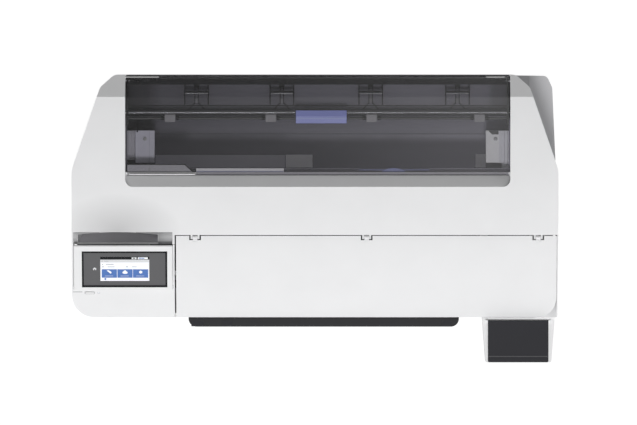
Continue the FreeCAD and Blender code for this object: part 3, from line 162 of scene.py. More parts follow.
def across(material, place, stops):
    """A grey that changes along X, from pairs of a place in millimetres and a brightness."""
    nodes = material.node_tree.nodes
    wire = material.node_tree.links.new
    split = nodes.new("ShaderNodeSeparateXYZ")
    spread = nodes.new("ShaderNodeMapRange")
    first, last = stops[0][0], stops[-1][0]
    spread.inputs["From Min"].default_value = first / 1000
    spread.inputs["From Max"].default_value = last / 1000
    ramp = nodes.new("ShaderNodeValToRGB")
    marks = ramp.color_ramp.elements
    for place_x, level in stops[1:-1]:
        mark = marks.new((place_x - first) / (last - first))
        mark.color = (level, level, level, 1)
    marks[0].color = (stops[0][1],) * 3 + (1,)
    marks[len(stops) - 1].color = (stops[-1][1],) * 3 + (1,)
    wire(place, split.inputs["Vector"])
    wire(split.outputs["X"], spread.inputs["Value"])
    wire(spread.outputs["Result"], ramp.inputs["Fac"])
    return ramp.outputs["Color"]


def painted_shade_plastic(name, tone, stops, roughness, grain=900, depth=0.0001, shine=0.3):
    """Moulded plastic with painted shade: its grey drifts along X, over the same grain and mottle."""
    material, shader, place = start_material(name)
    shader.inputs["Specular IOR Level"].default_value = shine
    tint(material, shader, speckle(material, place, 14, 5), shade(tone, 0.94), shade(tone, 1.0))
    drift = material.node_tree.nodes.new("ShaderNodeMix")
    drift.data_type = "RGBA"
    drift.blend_type = "MULTIPLY"
    drift.inputs["Factor"].default_value = 1.0
    mottled = shader.inputs["Base Color"].links[0].from_socket
    material.node_tree.links.new(mottled, drift.inputs["A"])
    material.node_tree.links.new(across(material, place, stops), drift.inputs["B"])
    material.node_tree.links.new(drift.outputs["Result"], shader.inputs["Base Color"])
    gloss_range(material, shader, speckle(material, place, 45, 4), roughness - 0.06, roughness + 0.08)
    relief(material, shader, speckle(material, place, grain, 2), depth)
    return material


def rolled_steel(name, colour, roughness, stretch, depth=0.00002):
    """Rolled or ground steel, its fine lines all one way."""
    material, shader, place = start_material(name)
    shader.inputs["Metallic"].default_value = 1.0
    lines = speckle(material, place, 60, 4, stretch)
    tint(material, shader, lines, shade(colour, 0.86), shade(colour, 1.06))
    gloss_range(material, shader, lines, roughness - 0.08, roughness + 0.08)
    relief(material, shader, lines, depth)
    return material


def spangled_steel(name, colour, roughness):
    """Galvanised sheet with its frosted zinc flakes."""
    material, shader, place = start_material(name)
    shader.inputs["Metallic"].default_value = 0.9
    flakes = material.node_tree.nodes.new("ShaderNodeTexVoronoi")
    flakes.inputs["Scale"].default_value = 120
    material.node_tree.links.new(place, flakes.inputs["Vector"])
    tint(material, shader, flakes.outputs["Color"], shade(colour, 0.88), shade(colour, 1.04))
    gloss_range(material, shader, speckle(material, place, 90, 3), roughness - 0.05, roughness + 0.1)
    relief(material, shader, flakes.outputs["Distance"], 0.00003)
    return material


def soft_rubber(name, colour):
    """Rubber with a dusty bloom and a fine pebbled skin."""
    material, shader, place = start_material(name)
    tint(material, shader, speckle(material, place, 70, 5), shade(colour, 0.8), shade(colour, 1.35))
    gloss_range(material, shader, speckle(material, place, 240, 2), 0.68, 0.9)
    relief(material, shader, speckle(material, place, 1300, 2), 0.00012)
    return material


def clear_plastic(name, stops, alpha, roughness):
    """Clear or smoked plastic that passes part of the light, with a few hairline scratches and a colour that changes
    along X by its stops.
    """
    material, shader, place = start_material(name)
    shader.inputs["Alpha"].default_value = alpha
    shader.inputs["Specular IOR Level"].default_value = 0.12
    scratches = speckle(material, place, 35, 6, (30, 1, 1))
    tint_and_painted_shade = across(material, place, stops)
    cloud = material.node_tree.nodes.new("ShaderNodeMix")
    cloud.data_type = "RGBA"
    cloud.blend_type = "MULTIPLY"
    cloud.inputs["Factor"].default_value = 0.08
    material.node_tree.links.new(tint_and_painted_shade, cloud.inputs["A"])
    material.node_tree.links.new(speckle(material, place, 6, 3), cloud.inputs["B"])
    material.node_tree.links.new(cloud.outputs["Result"], shader.inputs["Base Color"])
    gloss_range(material, shader, scratches, roughness, roughness + 0.07)
    relief(material, shader, scratches, 0.000006)
    return material


def lit_screen(name, colour, strength):
    """A backlit area of the display, brighter in the middle of each fine pixel row."""
    material, shader, place = start_material(name)
    rows = material.node_tree.nodes.new("ShaderNodeTexWave")
    rows.inputs["Scale"].default_value = 900
    material.node_tree.links.new(place, rows.inputs["Vector"])
    tint(material, shader, rows.outputs["Fac"], shade(colour, 0.95), shade(colour, 1.0))
    shader.inputs["Emission Color"].default_value = (*colour, 1)
    shader.inputs["Emission Strength"].default_value = strength
    shader.inputs["Specular IOR Level"].default_value = 0.08
    gloss_range(material, shader, speckle(material, place, 60, 3), 0.32, 0.4)
    relief(material, shader, speckle(material, place, 25, 2), 0.00001)
    return material


def solder_mask(name):
    """Green board lacquer over faint copper tracks."""
    material, shader, place = start_material(name)
    tracks = material.node_tree.nodes.new("ShaderNodeTexBrick")
    tracks.inputs["Scale"].default_value = 60
    tracks.inputs["Color1"].default_value = (0.0, 0.0, 0.0, 1)
    tracks.inputs["Color2"].default_value = (0.25, 0.25, 0.25, 1)
    tracks.inputs["Mortar"].default_value = (1, 1, 1, 1)
    material.node_tree.links.new(place, tracks.inputs["Vector"])
    tint(material, shader, tracks.outputs["Color"], (0.01, 0.10, 0.045), (0.06, 0.25, 0.12))
    gloss_range(material, shader, speckle(material, place, 80, 3), 0.25, 0.4)
    relief(material, shader, tracks.outputs["Fac"], 0.00005)
    return material


def woven_belt(name):
    """Toothed belt rubber, ribbed across its run."""
    material, shader, place = start_material(name)
    ribs = material.node_tree.nodes.new("ShaderNodeTexWave")
    ribs.inputs["Scale"].default_value = 150
    material.node_tree.links.new(place, ribs.inputs["Vector"])
    tint(material, shader, ribs.outputs["Fac"], (0.02, 0.02, 0.022), (0.06, 0.06, 0.065))
    gloss_range(material, shader, speckle(material, place, 200, 2), 0.6, 0.8)
    relief(material, shader, ribs.outputs["Fac"], 0.0004)
    return material


def painted_shade_around(material, centre, reach, least):
    """Painted shade: the colour darkens softly around one place on the object."""
    nodes = material.node_tree.nodes
    wire = material.node_tree.links.new
    place = nodes.new("ShaderNodeTexCoord")
    mapping = nodes.new("ShaderNodeMapping")
    mapping.inputs["Location"].default_value = tuple(-c / r for c, r in zip(centre, reach))
    mapping.inputs["Scale"].default_value = tuple(1 / r for r in reach)
    ball = nodes.new("ShaderNodeTexGradient")
    ball.gradient_type = "SPHERICAL"
    spread = nodes.new("ShaderNodeMapRange")
    spread.inputs["To Min"].default_value = 1.0
    spread.inputs["To Max"].default_value = least
    dim = nodes.new("ShaderNodeMix")
    dim.data_type = "RGBA"
    dim.blend_type = "MULTIPLY"
    dim.inputs["Factor"].default_value = 1.0
    base = nodes["Principled BSDF"].inputs["Base Color"]
    wire(place.outputs["Object"], mapping.inputs["Vector"])
    wire(mapping.outputs["Vector"], ball.inputs["Vector"])
    wire(ball.outputs["Fac"], spread.inputs["Value"])
    wire(base.links[0].from_socket, dim.inputs["A"])
    wire(spread.outputs["Result"], dim.inputs["B"])
    wire(dim.outputs["Result"], base)


SHELL_WHITE = moulded_plastic("shell_white", (0.85, 0.852, 0.86), 0.5, shine=0.2)
# Painted shade on the shell around the finger pocket, standing in for the soft shadow behind the raised control
# panel
painted_shade_around(SHELL_WHITE, (-0.392, -0.024, 0.205), (0.125, 0.075, 0.2), 0.66)
COVER_WHITE = moulded_plastic("cover_white", (0.84, 0.842, 0.85), 0.5, shine=0.2)
BOX_WHITE = moulded_plastic("box_white", (0.93, 0.93, 0.935), 0.5, shine=0.2)
SEAM_GREY = moulded_plastic("seam_grey", (0.40, 0.40, 0.41), 0.5)
# Painted shade in the finger pocket: a grey floor that is darkest in the middle and lighter at both ends
POCKET_SHADE = painted_shade_plastic("pocket_floor_painted_shade", (0.97, 0.96, 1.0), [(-473, 0.62), (-450, 0.54), (-400, 0.44),
                            (-350, 0.40), (-330, 0.48), (-312, 0.56)], 0.5)
# Painted shade on skins over the pocket's step: darkest over the pocket, lighter at both ends
POCKET_SKIN_SHADE = painted_shade_plastic("pocket_skin_painted_shade", (0.98, 0.985, 1.0), [(-485, 0.50), (-473, 0.36), (-313, 0.26),
                            (-300, 0.38), (-278, 0.50)], 0.5)
PANEL_WHITE = moulded_plastic("panel_white", (0.83, 0.832, 0.84), 0.44)
# The rear housing is the shell's white plastic, given a grey as painted shade
HOUSING_SHADED = moulded_plastic("housing_painted_shade", (0.50, 0.50, 0.515), 0.5)
# The smoked cover's colour is painted shade across the roll compartment: darker at the left, lighter at the right
SMOKED = clear_plastic("smoked_cover", [(-380, 0.06), (0, 0.11), (390, 0.21)], 0.22, 0.06)
TRAY_BLACK = moulded_plastic("tray_black", (0.012, 0.012, 0.014), 0.45, 1200, 0.00008, 0.12, 0.22)
LID_BLACK = moulded_plastic("lid_black", (0.019, 0.019, 0.023), 0.42, 1500, 0.00006, 0.08, 0.22)
FRAME_BLACK = moulded_plastic("frame_black", (0.010, 0.010, 0.012), 0.45, 1500, 0.00005, 0.1, 0.2)
LILAC = (0.84, 0.81, 1.0)
# Painted shade in the roll compartment: the trough, its rear wall and the feeder plate darken towards the left, and
# the plate also towards both ends beside the side walls
TROUGH_GREY = painted_shade_plastic("trough_painted_shade_grey", LILAC, [(-376, 0.14), (-330, 0.165), (-170, 0.19), (-30, 0.23),
                            (70, 0.27), (160, 0.33), (270, 0.40), (390, 0.40)], 0.5)
WALL_GREY = painted_shade_plastic("wall_painted_shade_grey", LILAC, [(-376, 0.08), (-300, 0.14), (0, 0.20), (390, 0.27)], 0.5)
PLATE_GREY = painted_shade_plastic("plate_painted_shade_grey", LILAC, [(-376, 0.03), (-335, 0.04), (-305, 0.11), (0, 0.17),
                           (300, 0.23), (342, 0.20), (356, 0.11), (389, 0.08)], 0.48)
GUIDE_GREY = moulded_plastic("guide_grey", (0.46, 0.45, 0.50), 0.42, 1400, 0.00006, 0.04)
GUIDE_LIGHT = moulded_plastic("guide_light", (0.82, 0.81, 0.86), 0.42, 1400, 0.00006, 0.04)
GUIDE_LILAC = moulded_plastic("guide_lilac", (0.66, 0.66, 0.90), 0.42, 1400, 0.00006, 0.04)
GUIDE_DIM = moulded_plastic("guide_dim", (0.64, 0.62, 0.70), 0.46, 1400, 0.00006, 0.04)
GUIDE_PALE = moulded_plastic("guide_pale", (0.95, 0.94, 0.97), 0.42, 1400, 0.00006, 0.04)
EDGE_WHITE = moulded_plastic("edge_white", (0.84, 0.83, 0.86), 0.4, 1400, 0.00004, 0.03)
# The roll holders and side trays are one plastic in shaded and lit copies: the left ones darker as painted shade,
# the right ones lighter as painted light
LEFT_HOLDER_SHADED = moulded_plastic("left_holder_shaded_grey", (0.56, 0.55, 0.65), 0.4, 1400, 0.00006, 0.05)
LEFT_TRAY_SHADED = moulded_plastic("left_tray_shaded_grey", (0.43, 0.42, 0.48), 0.42, 1400, 0.00006, 0.05)
RIGHT_HOLDER_LIT = moulded_plastic("right_holder_lit_grey", (0.91, 0.90, 0.95), 0.4, 1400, 0.00006, 0.04)
RIGHT_TRAY_LIT = moulded_plastic("right_tray_lit_grey", (0.78, 0.77, 0.85), 0.42, 1400, 0.00006, 0.04)
MACHINE_GREY = moulded_plastic("machine_grey", (0.07, 0.07, 0.075), 0.5, 1100, 0.00008, 0.08)
STEM_GREY = moulded_plastic("stem_grey", (0.20, 0.195, 0.22), 0.48, 1100, 0.00008, 0.06)
BOX_GREY = moulded_plastic("roller_box_grey", (0.34, 0.33, 0.36), 0.45, 1400, 0.00006, 0.05)
LEVER_BLUE = moulded_plastic("lever_blue", (0.30, 0.34, 0.80), 0.36, 1600, 0.00004, 0.06)
LEVER_HIGHLIGHT = moulded_plastic("lever_highlight_blue", (0.36, 0.42, 0.80), 0.34, 1600, 0.00004, 0.05)
SPOT_BLUE = moulded_plastic("spot_blue", (0.26, 0.28, 0.52), 0.4, 1600, 0.00004, 0.06)
DRAWER_GREY = moulded_plastic("drawer_grey", (0.56, 0.56, 0.58), 0.45, 1500, 0.00006, 0.04)
WHEEL_WHITE = moulded_plastic("wheel_white", (0.70, 0.70, 0.68), 0.36, 1400, 0.00004, 0.03)
GLASS_BLACK = moulded_plastic("glass_black", (0.012, 0.012, 0.014), 0.35, 900, 0.00001, 0.1, 0.08)
GLASS_GREY = moulded_plastic("glass_grey", (0.125, 0.125, 0.13), 0.35, 900, 0.00001, 0.05, 0.08)
SHEET_STEEL = spangled_steel("sheet_steel", (0.62, 0.62, 0.64), 0.42)
BRIGHT_STEEL = rolled_steel("bright_steel", (0.84, 0.84, 0.86), 0.22, (0.2, 12, 12))
PIN_STEEL = rolled_steel("pin_steel", (0.15, 0.15, 0.16), 0.3, (0.2, 12, 12))
SHAFT_STEEL = rolled_steel("shaft_steel", (0.11, 0.11, 0.12), 0.3, (0.2, 12, 12))
DULL_STEEL = rolled_steel("dull_steel", (0.34, 0.34, 0.36), 0.35, (0.2, 12, 12))
TURNED_BRASS = rolled_steel("turned_brass", (0.75, 0.60, 0.32), 0.28, (10, 0.5, 10))
SOFT_RUBBER = soft_rubber("soft_rubber", (0.03, 0.03, 0.032))
ROLLER_RUBBER = soft_rubber("roller_rubber", (0.07, 0.07, 0.075))
BELT_RUBBER = woven_belt("belt_rubber")
BOARD_GREEN = solder_mask("board_green")
TANK_CLEAR = clear_plastic("tank_clear", [(340, 0.72), (470, 0.78)], 0.85, 0.2)
LAMP_FROST = lit_screen("lamp_frost", (0.80, 0.82, 0.85), 0.05)
SCREEN_WHITE = lit_screen("screen_white", (0.90, 0.91, 0.94), 0.17)
SCREEN_PALE = lit_screen("screen_pale", (0.74, 0.75, 0.77), 0.05)
SCREEN_BLUE = lit_screen("screen_blue", (0.097, 0.20, 0.50), 0.08)
SCREEN_BLACK = lit_screen("screen_black", (0.012, 0.012, 0.014), 0.0)
SCREEN_MARK = lit_screen("screen_mark", (0.42, 0.44, 0.48), 0.05)
CAP_BLACK = moulded_plastic("cap_black", (0.03, 0.03, 0.035), 0.3, 1500, 0.00004, 0.08)
CAP_CYAN = moulded_plastic("cap_cyan", (0.0, 0.30, 0.56), 0.3, 1500, 0.00004, 0.06)
CAP_MAGENTA = moulded_plastic("cap_magenta", (0.55, 0.02, 0.22), 0.3, 1500, 0.00004, 0.06)
CAP_YELLOW = moulded_plastic("cap_yellow", (0.85, 0.62, 0.03), 0.3, 1500, 0.00004, 0.06)

FINISHES = {
    "base_pan": SHEET_STEEL, "feet": SOFT_RUBBER, "lower_case": SHELL_WHITE, "rear_panel": SHEET_STEEL,
    "mains_inlet": FRAME_BLACK, "data_ports": BRIGHT_STEEL, "top_shell": SHELL_WHITE,
    "front_cover": COVER_WHITE, "front_left_fascia": COVER_WHITE, "power_button": COVER_WHITE,
    "status_lamp": LAMP_FROST, "control_panel": PANEL_WHITE, "panel_glass": GLASS_BLACK,
    "display": SCREEN_WHITE, "roll_cover": SMOKED, "roll_cover_arms": FRAME_BLACK,
    "roll_trough": TROUGH_GREY, "left_roll_holder": LEFT_HOLDER_SHADED, "right_roll_holder": RIGHT_HOLDER_LIT,
    "paper_guides": GUIDE_GREY, "feeder_plate": PLATE_GREY, "hold_down_brackets": MACHINE_GREY,
    "feeder_shaft": SHAFT_STEEL, "feeder_rollers": MACHINE_GREY, "release_lever": LEVER_BLUE,
    "left_side_frame": SHEET_STEEL, "right_side_frame": SHEET_STEEL, "platen": TRAY_BLACK,
    "carriage_rail": SHEET_STEEL, "carriage": MACHINE_GREY, "print_head": BRIGHT_STEEL,
    "timing_belt": BELT_RUBBER, "drive_pulley": TURNED_BRASS, "idler_pulley": TURNED_BRASS,
    "carriage_motor": SHEET_STEEL, "feed_roller": SHEET_STEEL, "feed_gear": WHEEL_WHITE,
    "motor_pinion": TURNED_BRASS, "feed_motor": SHEET_STEEL, "pinch_rollers": ROLLER_RUBBER,
    "eject_roller": ROLLER_RUBBER, "cutter_rail": BRIGHT_STEEL, "cutter_carriage": MACHINE_GREY,
    "capping_station": MACHINE_GREY, "output_guide": TRAY_BLACK, "ink_box": BOX_WHITE,
    "ink_box_lid": LID_BLACK, "hinge_pins": DULL_STEEL, "tank_cap_1": CAP_BLACK,
    "tank_cap_2": CAP_CYAN, "tank_cap_3": CAP_MAGENTA, "tank_cap_4": CAP_YELLOW,
    "ink_tanks": TANK_CLEAR, "rear_housing": HOUSING_SHADED, "maintenance_box": DRAWER_GREY,
    "main_board": BOARD_GREEN, "power_supply": SHEET_STEEL, "guide_screws": BRIGHT_STEEL,
}
for name, finish in FINISHES.items():
    for place in parts[name].material_slots:
        place.material = finish


def let_go():
    """Nothing stays selected, so that the next operator works on the new piece alone."""
    bpy.ops.object.select_all(action="DESELECT")


def settle(piece):
    """Keep the place of a piece in its mesh."""
    let_go()
    piece.select_set(True)
    bpy.context.view_layer.objects.active = piece
    bpy.ops.object.transform_apply(location=True, rotation=True, scale=True)
    return piece


def dress(piece, name, finish, body):
    piece.name = name
    piece.data.name = name
    piece.data.materials.clear()
    piece.data.materials.append(finish)
    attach(piece, body)
    return piece


def softened_block(low, high, rounding, steps=3):
    """A block between two corners in millimetres, with all its edges rounded."""
    let_go()
    middle = [(a + b) / 2000 for a, b in zip(low, high)]
    bpy.ops.mesh.primitive_cube_add(size=1, location=middle)
    piece = bpy.context.object
    piece.scale = [(b - a) / 1000 for a, b in zip(low, high)]
    settle(piece)
    bpy.ops.object.mode_set(mode="EDIT")
    bpy.ops.mesh.select_all(action="SELECT")
    bpy.ops.mesh.bevel(offset=rounding / 1000, segments=steps, affect="EDGES")
    bpy.ops.object.mode_set(mode="OBJECT")
    return piece


def tablet(low, high, corner, rim=0.15, steps=5):
    """A thin plate with round corners and a softened top edge, sizes in millimetres."""
    let_go()
    middle = [(a + b) / 2000 for a, b in zip(low, high)]
    bpy.ops.mesh.primitive_cube_add(size=1, location=middle)
    piece = bpy.context.object
    piece.scale = [(b - a) / 1000 for a, b in zip(low, high)]
    settle(piece)
    for edge in piece.data.edges:
        ends = [piece.data.vertices[number].co for number in edge.vertices]
        edge.select = abs(ends[0].z - ends[1].z) > 1e-6
    for face in piece.data.polygons:
        face.select = False
    bpy.ops.object.mode_set(mode="EDIT")
    bpy.ops.mesh.select_mode(type="EDGE")
    bpy.ops.mesh.bevel(offset=corner / 1000, segments=steps, affect="EDGES")
    bpy.ops.mesh.select_mode(type="FACE")
    bpy.ops.mesh.select_all(action="DESELECT")
    bpy.ops.object.mode_set(mode="OBJECT")
    for face in piece.data.polygons:
        face.select = face.normal.z > 0.9
    bpy.ops.object.mode_set(mode="EDIT")
    bpy.ops.mesh.inset(thickness=rim / 1000)
    bpy.ops.transform.translate(value=(0, 0, rim / 2000))
    bpy.ops.object.mode_set(mode="OBJECT")
    return piece


def flat_shape(points, low, thick):
    """A flat plate extruded up from its outline, in millimetres, its edges softened."""
    let_go()
    bpy.ops.mesh.primitive_circle_add(vertices=len(points), radius=0.001, fill_type="NGON")
    piece = bpy.context.object
    for vertex, (x, y) in zip(piece.data.vertices, points):
        vertex.co = (x / 1000, y / 1000, low / 1000)
    settle(piece)
    bpy.ops.object.mode_set(mode="EDIT")
    bpy.ops.mesh.select_all(action="SELECT")
    bpy.ops.mesh.extrude_region_move(TRANSFORM_OT_translate={"value": (0, 0, thick / 1000)})
    bpy.ops.mesh.select_all(action="SELECT")
    bpy.ops.mesh.normals_make_consistent(inside=False)
    bpy.ops.mesh.bevel(offset=min(0.2, thick / 5) / 1000, segments=2, affect="EDGES")
    bpy.ops.object.mode_set(mode="OBJECT")
    return piece


def pan_head(radius, height, at):
    """A pan-head screw with a cross recess, standing on a point, sizes in millimetres."""
    let_go()
    spot = (at[0] / 1000, at[1] / 1000, (at[2] + height / 2) / 1000)
    bpy.ops.mesh.primitive_cylinder_add(vertices=32, radius=radius / 1000, depth=height / 1000, location=spot)
    head = bpy.context.object
    settle(head)
    for face in head.data.polygons:
        face.select = face.normal.z > 0.9
    bpy.ops.object.mode_set(mode="EDIT")
    bpy.ops.mesh.bevel(offset=height * 0.45 / 1000, segments=4, affect="EDGES")
    bpy.ops.object.mode_set(mode="OBJECT")
    tools = []
    for wide, deep in ((radius * 1.25, radius * 0.28), (radius * 0.28, radius * 1.25)):
        tools.append(softened_block((at[0] - wide / 2, at[1] - deep / 2, at[2] + height * 0.45),
                                    (at[0] + wide / 2, at[1] + deep / 2, at[2] + height * 2), 0.05, 1))
    for tool in tools:
        recess = head.modifiers.new("recess", "BOOLEAN")
        recess.object = tool
        let_go()
        head.select_set(True)
        bpy.context.view_layer.objects.active = head
        bpy.ops.object.modifier_apply(modifier="recess")
        bpy.data.objects.remove(tool)
    return head


def joined(pieces):
    let_go()
    for piece in pieces:
        piece.select_set(True)
    bpy.context.view_layer.objects.active = pieces[0]
    if len(pieces) > 1:
        bpy.ops.object.join()
    return bpy.context.view_layer.objects.active


PLATE_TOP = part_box("feeder_plate")[1].z * 1000

# The control panel's own slope, in millimetres along its face and up from it
PANEL_LEFT = -481.0
PANEL_TILT = math.radians(29)


def onto_panel(piece):
    piece.rotation_euler = (PANEL_TILT, 0, 0)
    piece.location = (PANEL_LEFT / 1000, -0.1425, 0.153)
    return settle(piece)


def panel_tablet(name, x, y, wide, deep, low, thick, corner, finish):
    piece = tablet((x, y, low), (x + wide, y + deep, low + thick), corner, min(0.12, thick / 3))
    onto_panel(piece)
    return dress(piece, name, finish, "control_panel")


GLASS_TOP = 0.2
panel_tablet("panel_window", 19.6, 11.6, 163.3, 73.8, GLASS_TOP - 0.05, 0.2, 1.0, GLASS_GREY)
SCREEN = GLASS_TOP + 0.14
panel_tablet("screen_page", 53, 21.5, 97.5, 55, SCREEN, 0.12, 0.5, SCREEN_WHITE)
panel_tablet("screen_top_bar", 53, 70, 97.5, 6.5, SCREEN + 0.1, 0.1, 0.4, SCREEN_BLACK)
panel_tablet("screen_title_strip", 53.4, 63.6, 96.7, 6.2, SCREEN + 0.09, 0.08, 0.3, SCREEN_PALE)
for number, left in enumerate((55.7, 86.9, 118.0)):
    panel_tablet(f"screen_tile_{number + 1}", left, 28.8, 30.3, 19.2, SCREEN + 0.1, 0.1, 0.5, SCREEN_BLUE)
    panel_tablet(f"screen_tile_line_{number + 1}", left + 6.5, 32.4, 16.0, 0.8, SCREEN + 0.18, 0.06, 0.2,
                 SCREEN_PALE)
marks = [(55.5, 66.0, 2.6, 1.2), (61, 66.0, 8.5, 1.2), (56.5, 58.3, 2.0, 1.8), (64, 58.6, 15.5, 1.3),
         (56.5, 52.8, 3.2, 1.6), (67.5, 53.0, 14, 1.2), (104, 52.8, 4, 1.6), (116, 53.0, 9.5, 1.2)]
for number, (x, y, wide, deep) in enumerate(marks):
    panel_tablet(f"screen_mark_{number + 1}", x, y, wide, deep, SCREEN + 0.12, 0.1, 0.3, SCREEN_MARK)
panel_tablet("screen_status_mark_1", 115.5, 71.2, 9.8, 4.2, SCREEN + 0.18, 0.08, 0.8, SCREEN_PALE)
panel_tablet("screen_status_mark_2", 127.8, 71.2, 20, 4.2, SCREEN + 0.18, 0.08, 0.8, SCREEN_WHITE)
panel_tablet("screen_status_dot", 119, 72.0, 2.6, 2.6, SCREEN + 0.24, 0.06, 0.6, SCREEN_BLACK)
panel_tablet("screen_level", 130.0, 72.4, 11.0, 1.8, SCREEN + 0.24, 0.06, 0.5, SCREEN_BLUE)
panel_tablet("screen_foot_mark", 61.2, 23.6, 3.4, 4.2, SCREEN + 0.1, 0.1, 0.4, SCREEN_BLUE)


def panel_outline(name, points, low, thick, finish):
    """A flat symbol on the panel, extruded from its outline."""
    let_go()
    bpy.ops.mesh.primitive_circle_add(vertices=len(points), radius=0.001, fill_type="NGON")
    piece = bpy.context.object
    for vertex, (x, y) in zip(piece.data.vertices, points):
        vertex.co = (x / 1000, y / 1000, low / 1000)
    settle(piece)
    bpy.ops.object.mode_set(mode="EDIT")
    bpy.ops.mesh.select_all(action="SELECT")
    bpy.ops.mesh.extrude_region_move(TRANSFORM_OT_translate={"value": (0, 0, thick / 1000)})
    bpy.ops.mesh.select_all(action="SELECT")
    bpy.ops.mesh.normals_make_consistent(inside=False)
    bpy.ops.object.mode_set(mode="OBJECT")
    onto_panel(piece)
    return dress(piece, name, finish, "control_panel")


# A house, the touch key that goes home, and a plain symbol on each tile
panel_outline("home_key", [(38.6, 46.2), (38.6, 48.9), (37.4, 48.9), (41.6, 52.2), (45.8, 48.9), (44.6, 48.9),
              (44.6, 46.2), (42.6, 46.2), (42.6, 48.4), (40.6, 48.4), (40.6, 46.2)], GLASS_TOP + 0.14, 0.1,
              SCREEN_PALE)
panel_outline("tile_symbol_page", [(65.4, 45.0), (69.0, 46.0), (74.6, 42.6), (75.2, 39.4), (72.6, 38.0),
              (70.8, 40.6)], SCREEN + 0.18, 0.08, SCREEN_WHITE)
panel_outline("tile_symbol_tray", [(97.0, 39.2), (97.0, 41.6), (99.4, 43.8), (101.0, 45.6), (103.2, 45.6),
              (104.8, 43.8), (107.2, 41.6), (107.2, 39.2), (104.6, 37.8), (99.6, 37.8)], SCREEN + 0.18, 0.08,
              SCREEN_WHITE)
turn = [math.radians(angle) for angle in range(0, 360, 30)]
panel_outline("tile_symbol_wheel", [(133.4 + (3.9 if step % 2 else 2.9) * math.cos(a),
              41.6 + (3.9 if step % 2 else 2.9) * math.sin(a)) for step, a in enumerate(turn)], SCREEN + 0.18,
              0.08, SCREEN_WHITE)

# Fascia: the ring round the status lamp and the parting line beside the button
ARC_CENTRE = (16.27, -39.8)
ARC_RADIUS = 244.6


def front_slope_at(y):
    """Height and lean of the rounded front at a depth."""
    lean = math.asin((ARC_CENTRE[0] - y) / ARC_RADIUS)
    return ARC_CENTRE[1] + ARC_RADIUS * math.cos(lean), lean


button_z, button_lean = front_slope_at(-147.5)
let_go()
bpy.ops.mesh.primitive_torus_add(major_segments=40, minor_segments=10, major_radius=0.0026, minor_radius=0.0004,
                                 location=(-0.432, -0.1475, button_z / 1000), rotation=(button_lean, 0, 0))
lamp_ring = settle(bpy.context.object)
bpy.ops.object.mode_set(mode="EDIT")
bpy.ops.mesh.select_all(action="SELECT")
bpy.ops.transform.resize(value=(1, 1, 0.7), center_override=(-0.432, -0.1475, button_z / 1000))
bpy.ops.object.mode_set(mode="OBJECT")
dress(lamp_ring, "lamp_ring", DRAWER_GREY, "case")

parting_z, parting_lean = front_slope_at(-146.0)
parting = tablet((-9.6, -0.9, -0.6), (9.6, 0.9, 0.05), 0.3, 0.05, 2)
parting.rotation_euler = (parting_lean, 0, 0)
parting.location = (-0.4740, -0.1460, parting_z / 1000)
settle(parting)
dress(parting, "fascia_parting_line", SEAM_GREY, "case")

# The outline of the power button, and the crease across the ink box lid


def stadium(long, deep, low, thick):
    """A flat plate with half-round ends, in millimetres."""
    turn = [math.radians(a) for a in range(-90, 91, 15)]
    reach = (long - deep) / 2
    right = [(reach + deep / 2 * math.cos(a), deep / 2 * math.sin(a)) for a in turn]
    return flat_shape(right + [(-x, -y) for x, y in right], low, thick)


for name, long, deep, low, finish in (("power_button_rim", 20.6, 5.8, 0.95, SEAM_GREY),
                                      ("power_button_face", 18.6, 4.0, 1.1, COVER_WHITE)):
    face = stadium(long, deep, low, 0.25)
    face.rotation_euler = (button_lean, 0, 0)
    face.location = (-0.4495, -0.1475, button_z / 1000)
    dress(settle(face), name, finish, "power_button")
lid_low, lid_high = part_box("ink_box_lid")
crease = softened_block((lid_low.x * 1000 + 1, -276.4, lid_high.z * 1000 - 0.2),
                        (lid_high.x * 1000 - 1, -274.6, lid_high.z * 1000 + 0.25), 0.1, 2)
dress(crease, "ink_lid_crease", MACHINE_GREY, "ink_box_lid")

# Floor of the finger pocket, with the pocket's bowed rear edge; its grey, lighter at both ends, is painted shade
bowed = [(-393 + across_x, -626.5 + math.sqrt(600 ** 2 - across_x ** 2) - 0.3)
         for across_x in range(79, -80, -10)]
pocket_floor = flat_shape([(-472.7, -46.6), (-313.3, -46.6)] + bowed, 158.0, 0.8)
dress(pocket_floor, "pocket_floor", POCKET_SHADE, "case")
STEP_CURVE = (-41.0, 202.5, 14.5)


def pocket_skin(x0, x1, front, name):
    """A skin over the curved step at the rear of the pocket, from a front edge that may be bowed; its grey is
    painted shade.
    """
    let_go()
    bpy.ops.mesh.primitive_grid_add(x_subdivisions=12, y_subdivisions=24, size=1)
    skin = bpy.context.object
    rear = STEP_CURVE[0] + STEP_CURVE[2] * math.sin(math.radians(84))
    for vertex in skin.data.vertices:
        x = x0 + (x1 - x0) * (vertex.co.x + 0.5)
        y = front(x) + (rear - front(x)) * math.sin(math.pi / 2 * min(1, vertex.co.y + 0.5))
        drop = math.sqrt(STEP_CURVE[2] ** 2 - max(0, y - STEP_CURVE[0]) ** 2)
        vertex.co = (x / 1000, y / 1000, (STEP_CURVE[1] - drop) / 1000)
    skin.data.update()
    body = skin.modifiers.new("body", "SOLIDIFY")
    body.thickness = 0.0004
    body.offset = 1
    bpy.ops.object.modifier_apply(modifier="body")
    softening = skin.modifiers.new("softening", "BEVEL")
    softening.width = 0.0001
    softening.segments = 2
    bpy.ops.object.modifier_apply(modifier="softening")
    dress(skin, name, POCKET_SKIN_SHADE, "case")


def bowed_edge(x):
    return -626.3 + math.sqrt(600 ** 2 - (x + 393) ** 2)


pocket_skin(-484.0, -473.6, lambda x: -50.5, "pocket_end_left")
pocket_skin(-312.4, -279.0, lambda x: -50.5, "pocket_end_right")
pocket_skin(-473.4, -429.5, bowed_edge, "pocket_brow_left")
pocket_skin(-356.5, -312.6, bowed_edge, "pocket_brow_right")

